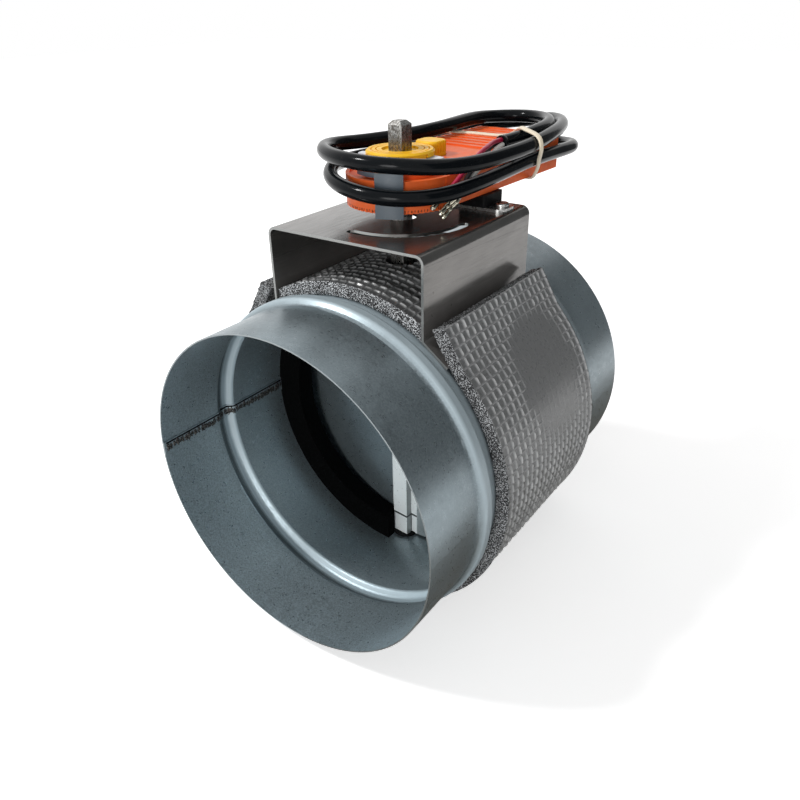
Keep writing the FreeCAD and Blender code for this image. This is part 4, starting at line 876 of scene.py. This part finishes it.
def resampled(points, places):
    """Points at given distances along a polyline."""
    distances = [0.0]
    for a, b in zip(points, points[1:]):
        distances.append(distances[-1] + (b - a).length)
    result, index = [], 0
    for place in places:
        while index < len(points) - 2 and distances[index + 1] < place:
            index += 1
        span = distances[index + 1] - distances[index]
        share = (place - distances[index]) / span if span else 0.0
        result.append(points[index].lerp(points[index + 1], share))
    return result


def smoothed(points, rounds):
    """Polyline whose inner points are averaged with their neighbours."""
    for _ in range(rounds):
        inner = [(a + b * 2 + c) / 4 for a, b, c in zip(points, points[1:], points[2:])]
        points = [points[0]] + inner + [points[-1]]
    return points


def cell_places(length):
    """Distances along a length, closer together at the ridges between cells."""
    count = int(length / CELL)
    start = (length - count * CELL) / 2
    places = [0.0] + [start + (i + step) * CELL for i in range(count) for step in CELL_STEPS]
    places += [start + count * CELL, length]
    return sorted(set(round(p, 4) for p in places if 0 <= p <= length)), start


def ridge(distance, half):
    """Rounded ridge profile across a distance from its crest."""
    share = min(1.0, abs(distance) / half)
    return (1 - share * share) ** 2


def plain_patch(along, across):
    """1 where the skin is bare and flat, and 0 well outside that place."""
    u = (along - PATCH_ALONG) / PATCH_HALF[0]
    v = (across - PATCH_ACROSS) / PATCH_HALF[1]
    reach = (u * u + v * v) ** 0.5 + 0.16 * noise.noise((along * 0.09, across * 0.09, 1.0))
    share = min(1.0, max(0.0, (1.12 - reach) / 0.3))
    return share * share * (3 - 2 * share)


def waffle(along, across, along_start, across_start, patched):
    """Height of the pressed pattern, and the slow swell of the skin under it."""
    u = (along - along_start + CELL / 2) % CELL - CELL / 2
    v = (across - across_start + CELL / 2) % CELL - CELL / 2
    drift = 0.22 * noise.noise((along * 0.21, across * 0.21, 3.0))
    uneven = 0.85 + 0.5 * noise.noise((along * 0.3, across * 0.3, 9.0))
    dash = ridge(v + drift, DASH_HALF) * DASH * (1 - ridge(u, DASH_BREAK)) * uneven
    line = ridge(u, LINE_HALF) * LINE
    pillow = PILLOW * (1 - (2 * u / CELL) ** 2) * (1 - (2 * v / CELL) ** 2)
    pressed = max(dash, line, pillow)
    if patched:
        pressed *= 1 - PATCH_FLAT * plain_patch(along, across)
    swell = SWELL * noise.noise((along * 0.05, across * 0.05, 7.0))
    return pressed, swell


def line_length(points):
    """Length of a polyline."""
    return sum((b - a).length for a, b in zip(points, points[1:]))


def torn_depth(x, y, z):
    """How far a cut face is torn in at a point in millimetres."""
    coarse = 0.42 * noise.noise((x * 0.9, y * 0.9, z * 0.9))
    fine = 0.34 * noise.noise((x * 1.9, y * 1.9, z * 1.9))
    return TORN + coarse + fine


def foam_block(name, outer, inner, patched, skin, torn_foam):
    """Bent block between an outer and an inner line in section, with pressed skin and rough cut faces."""
    length = line_length(outer)
    along, along_start = cell_places(length)
    across, across_start = cell_places(FOAM_END - FOAM_START)
    outer_line = resampled(outer, along)
    inner_share = line_length(inner) / length
    inner_line = resampled(inner, [a * inner_share for a in along])
    end_pull = {0: (outer_line[1] - outer_line[0]).normalized(),
                len(along) - 1: (outer_line[-2] - outer_line[-1]).normalized()}
    side_pull = {0: 1.0, len(across) - 1: -1.0}
    vertices, crests, index = [], [], {}

    def vertex(i, k, j):
        """Index of the point at place i along, row k of the thickness and place j across."""
        key = (i, k, j)
        if key in index:
            return index[key]
        share = k / CUT_ROWS
        point = inner_line[i].lerp(outer_line[i], share)
        normal = (outer_line[i] - inner_line[i]).normalized()
        edge = min(along[i], length - along[i], across[j], across[-1] - across[j])
        pressed, swell = waffle(along[i], across[j], along_start, across_start, patched)
        depth = (pressed + swell - SKIN_DROP) * min(1.0, edge / EDGE_ROUND)
        point = point + normal * depth * share ** 3
        y = FOAM_START + across[j]
        torn = torn_depth(point.x, y, point.z)
        if j in side_pull:
            y += side_pull[j] * torn
        if i in end_pull:
            point = point + end_pull[i] * torn
        index[key] = len(vertices)
        vertices.append(Vector((point.x, y, point.z)) * MM)
        crests.append(pressed)
        return index[key]

    faces, cut = [], []

    def quad(kind, *corners):
        """Face of the skin (0) or of the cut foam (1)."""
        faces.append(tuple(vertex(*corner) for corner in corners))
        cut.append(kind)

    last_i, last_k, last_j = len(along) - 1, CUT_ROWS, len(across) - 1
    for i in range(last_i):
        for j in range(last_j):
            quad(0, (i, last_k, j), (i, last_k, j + 1), (i + 1, last_k, j + 1), (i + 1, last_k, j))
            quad(1, (i, 0, j), (i + 1, 0, j), (i + 1, 0, j + 1), (i, 0, j + 1))
        for k in range(last_k):
            quad(1, (i, k, 0), (i, k + 1, 0), (i + 1, k + 1, 0), (i + 1, k, 0))
            quad(1, (i, k, last_j), (i + 1, k, last_j), (i + 1, k + 1, last_j), (i, k + 1, last_j))
    for j in range(last_j):
        for k in range(last_k):
            quad(1, (0, k, j), (0, k, j + 1), (0, k + 1, j + 1), (0, k + 1, j))
            quad(1, (last_i, k, j), (last_i, k + 1, j), (last_i, k + 1, j + 1), (last_i, k, j + 1))
    obj = mesh_object(name, vertices, faces, skin)
    obj.data.materials.append(torn_foam)
    obj.data.attributes.new("crest", "FLOAT", "POINT").data.foreach_set("value", crests)
    for polygon, kind in zip(obj.data.polygons, cut):
        polygon.material_index = kind
    return obj


def arc_points(radius, angle_from, angle_to, step=1.0):
    """Points round the duct's axis, about step degrees apart."""
    count = max(2, int(abs(angle_to - angle_from) / step))
    angles = [angle_from + (angle_to - angle_from) * i / count for i in range(count + 1)]
    return [Vector((radius * cos(radians(a)), 0, radius * sin(radians(a)))) for a in angles]


def wrap_lines():
    """Outer and inner line of the wrap, from the right flap under the duct to the left one."""
    lines = []
    for radius, (x, z) in ((DUCT_R + FOAM, FLAP_OUTER_TIP), (DUCT_R + FOAM_CLEAR, FLAP_TIP)):
        arc = arc_points(radius, FLAP_ANGLE, -180 - FLAP_ANGLE)
        line = [Vector((x, 0, z))] + arc + [Vector((-x, 0, z))]
        length = line_length(line)
        steps = int(length)
        lines.append(smoothed(resampled(line, [length * i / steps for i in range(steps + 1)]), FLAP_ROUNDS))
    return lines


def strip_lines():
    """Outer and inner line of the strip between the bracket's legs."""
    half = BRACKET_HALF - BRACKET_SHEET - STRIP_CLEAR
    lines = []
    for radius in (DUCT_R + FOAM, DUCT_R + FOAM_CLEAR):
        edge = degrees(acos(half / radius))
        lines.append(arc_points(radius, edge, 180 - edge, STRIP_STEP))
    return lines


def bored(obj, radius, z_from, z_to):
    """Round hole about the shaft."""
    cutter_mesh = bpy.data.meshes.new("cutter")
    shape = bmesh.new()
    bmesh.ops.create_cone(shape, cap_ends=True, segments=48, radius1=radius * MM, radius2=radius * MM,
                          depth=(z_to - z_from) * MM)
    shape.to_mesh(cutter_mesh)
    shape.free()
    cutter = added("cutter", cutter_mesh)
    cutter.location = (0, SHAFT_Y * MM, (z_from + z_to) / 2 * MM)
    cut = obj.modifiers.new("bore", "BOOLEAN")
    cut.object = cutter
    cut.operation = "DIFFERENCE"
    cut.solver = "EXACT"
    mesh = final_mesh(obj)
    obj.modifiers.clear()
    obj.data = mesh
    bpy.data.objects.remove(cutter)


wrap = foam_block("foam_wrap", *wrap_lines(), True, MATERIALS["foam"], CUT_FOAM)
finished(wrap, "duct", "foam", "insulation_wrap")
strip = foam_block("foam_strip", *strip_lines(), False, STRIP_SHADED_SKIN, STRIP_CUT)
bored(strip, SHAFT_HOLE_R, DUCT_R - HOLE_PAST, DUCT_R + FOAM + HOLE_PAST)
finished(strip, "duct", "foam", "insulation_strip")


# Welded lap

WELD_CENTRE = 3.7
WELD_HALF = 3.1
WELD_PITCH = 1.9
WELD_STEP = 0.26
WELD_SINK = 0.12
SPOT_SHIFT = 0.5
SPOT_HALF_LENGTH = (0.9, 1.5)
SPOT_HALF_WIDTH = (1.6, 2.6)
SPOT_HEIGHT = (0.45, 0.75)
SPOT_SPACING = (0.6, 1.3)
GAP_START = 0.1
GAP_WIDTH = 1.9
GAP_STAND = 0.28
RIM_CLEAR = 1.2
SEAL_CLEAR = 0.6


class InnerWall:
    """The inside of the duct's wall, found by rays from its axis."""

    def __init__(self):
        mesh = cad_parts["duct_body"].data
        self.tree = BVHTree.FromPolygons([v.co for v in mesh.vertices], [p.vertices for p in mesh.polygons])

    def point(self, y, down, lift):
        """Point at a height in millimetres over the wall, at a distance down from the lap's edge."""
        angle = radians(LAP_ANGLE) + down / (DUCT_R - DUCT_WALL)
        outward = Vector((cos(angle), 0.0, sin(angle)))
        start = Vector((0.0, y * MM, 0.0))
        hit = self.tree.ray_cast(start, outward)[0]
        return hit - outward * lift * MM


def weld_spots(rng, y_from, y_to):
    """Spots as (y, distance down, half length, half width, height)."""
    spots = []
    y = y_from + WELD_PITCH / 2
    while y < y_to:
        down = WELD_CENTRE + rng.uniform(-SPOT_SHIFT, SPOT_SHIFT)
        half_length = rng.uniform(*SPOT_HALF_LENGTH)
        half_width = rng.uniform(*SPOT_HALF_WIDTH)
        spots.append((y, down, half_length, half_width, rng.uniform(*SPOT_HEIGHT)))
        y += WELD_PITCH * rng.uniform(*SPOT_SPACING)
    return spots


def weld_height(spots, y, down):
    """Height over the wall where the spots and their ragged rims are."""
    height = 0.0
    for spot_y, spot_down, half_y, half_down, top in spots:
        if abs(y - spot_y) > 2 * half_y:
            continue
        far = ((y - spot_y) / half_y) ** 2 + ((down - spot_down) / half_down) ** 2
        far += 0.9 * noise.noise((y * 1.7, down * 1.7, 4.0))
        height = max(height, top * (1 - far))
    ragged = 0.7 + noise.noise((y * 2.9, down * 2.9, 8.0))
    return height * ragged - WELD_SINK


def grid_object(name, rows, material):
    """Sheet through rows of points, each row as long as the others."""
    width = len(rows[0])
    faces = [(r * width + c, r * width + c + 1, (r + 1) * width + c + 1, (r + 1) * width + c)
             for r in range(len(rows) - 1) for c in range(width - 1)]
    return mesh_object(name, [p for row in rows for p in row], faces, material)


def spread(low, high, steps):
    """Even places from low to high."""
    return [low + (high - low) * i / steps for i in range(steps + 1)]


def seam_piece(name, wall, y_from, y_to, seed):
    """Weld spots under a stretch of the lap, and over them a black ribbon along the lap's edge, a painted
    shadow of the gap.
    """
    spots = weld_spots(random.Random(seed), y_from, y_to)
    downs = spread(WELD_CENTRE - WELD_HALF, WELD_CENTRE + WELD_HALF, int(2 * WELD_HALF / WELD_STEP))
    places = spread(y_from, y_to, int((y_to - y_from) / WELD_STEP))
    rows = [[wall.point(y, down, weld_height(spots, y, down)) for down in downs] for y in places]
    finished(grid_object("weld_" + name, rows, WELD), "duct", "galvanised_sheet")
    # Painted shadow: a thin black ribbon standing where the lap's edge throws shade.
    shadow_ribbon = ((0.0, -GAP_STAND), (GAP_WIDTH / 2, GAP_STAND), (GAP_WIDTH, -GAP_STAND))
    rows = [[wall.point(y, GAP_START + down, lift) for down, lift in shadow_ribbon] for y in places]
    finished(grid_object("lap_shadow_" + name, rows, MATERIALS["seal_rubber"]), "duct", "galvanised_sheet")


inner_wall = InnerWall()
seals = [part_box(side) for side in ("front_half_seal", "rear_half_seal")]
seal_low = min(box[0].y for box in seals) / MM
seal_high = max(box[1].y for box in seals) / MM
seam_piece("front", inner_wall, RIM_CLEAR, seal_low - SEAL_CLEAR, 11)
seam_piece("rear", inner_wall, seal_high + SEAL_CLEAR, DUCT_LENGTH - RIM_CLEAR, 12)


# Rubber band

BAND_WIDTH = 2.5
BAND_THICK = 0.9
BAND_STEPS = 12
BAND_ROUND = 0.3
BAND_SWAY = 0.12
BAND_CORNERS = (
    (1, 1, (0, 45, 90)), (-1, 1, (90, 45, 0)), (-1, -1, (0, 45, 90)), (1, -1, (90, 45, 0)),
)


def closed_curve(points, steps):
    """Smooth closed line that keeps inside the corners of its control points."""
    line = []
    count = len(points)
    for k in range(count):
        a, b, c = points[k - 1], points[k], points[(k + 1) % count]
        for i in range(steps):
            t = i / steps
            line.append(a * (0.5 * (1 - t) ** 2) + b * (0.5 + t - t * t) + c * (0.5 * t * t))
    return line


def band_section(width, thick):
    """Outline of the band's section with rounded corners, as (across, outward) pairs."""
    section = []
    for across, outward, turns in BAND_CORNERS:
        for turn in turns:
            w = width / 2 - BAND_ROUND * (1 - cos(radians(turn)))
            t = thick / 2 - BAND_ROUND * (1 - sin(radians(turn)))
            section.append((across * w, outward * t))
    return section


def flat_band(name, line, width, thick, material):
    """Flat loop with rounded edges, its face turned away from the middle of the loop."""
    middle = sum(line, Vector()) / len(line)
    arms = [point - middle for point in line]
    axis = sum((a.cross(b) for a, b in zip(arms, arms[1:] + arms[:1])), Vector()).normalized()
    section = band_section(width, thick)
    vertices, faces = [], []
    count, sides = len(line), len(section)
    for k in range(count):
        along = (line[(k + 1) % count] - line[k - 1]).normalized()
        out = axis.cross(along).normalized()
        if out.dot(line[k] - middle) < 0:
            out = -out
        side = along.cross(out)
        sway = BAND_SWAY * noise.noise(line[k] * 0.16)
        for w, t in section:
            vertices.append((line[k] + side * (w + sway) + out * t) * MM)
    for k in range(count):
        here, there = k * sides, (k + 1) % count * sides
        for s in range(sides):
            after = (s + 1) % sides
            faces.append((here + s, here + after, there + after, there + s))
    return mesh_object(name, vertices, faces, material)


band_line = closed_curve([Vector(p) for p in BAND_LOOP], BAND_STEPS)
band = flat_band("flat_rubber_band", band_line, BAND_WIDTH, BAND_THICK, MATERIALS["band_rubber"])
finished(band, "duct", "band_rubber", "rubber_band")


# Spring under the release button

SPRING_WIRE = 0.55
SPRING_TURNS = 6
SPRING_POINTS = 16


def button_spring(low, high):
    """Wound spring in the box of its plain stand-in."""
    low, high = low / MM, high / MM
    middle = (low + high) / 2
    radius = (high.x - low.x - SPRING_WIRE) / 2
    rise = high.z - low.z - SPRING_WIRE
    steps = SPRING_TURNS * SPRING_POINTS
    route = []
    for k in range(steps + 1):
        angle = 2 * pi * k / SPRING_POINTS
        x = middle.x + radius * cos(angle)
        y = middle.y + radius * sin(angle)
        route.append((x, y, low.z + SPRING_WIRE / 2 + rise * k / steps))
    return spline_object("return_spring", route, SPRING_WIRE, MATERIALS["fastener_steel"])


def as_mesh(curve):
    """The curve's tube as a mesh piece of the same name."""
    mesh = final_mesh(curve)
    name = curve.name
    bpy.data.objects.remove(curve)
    return added(name, mesh)


spring_low, spring_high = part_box("button_spring")
spring = as_mesh(button_spring(spring_low, spring_high))
finished(spring, "duct", "fastener_steel", "button_spring")
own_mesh(spring)
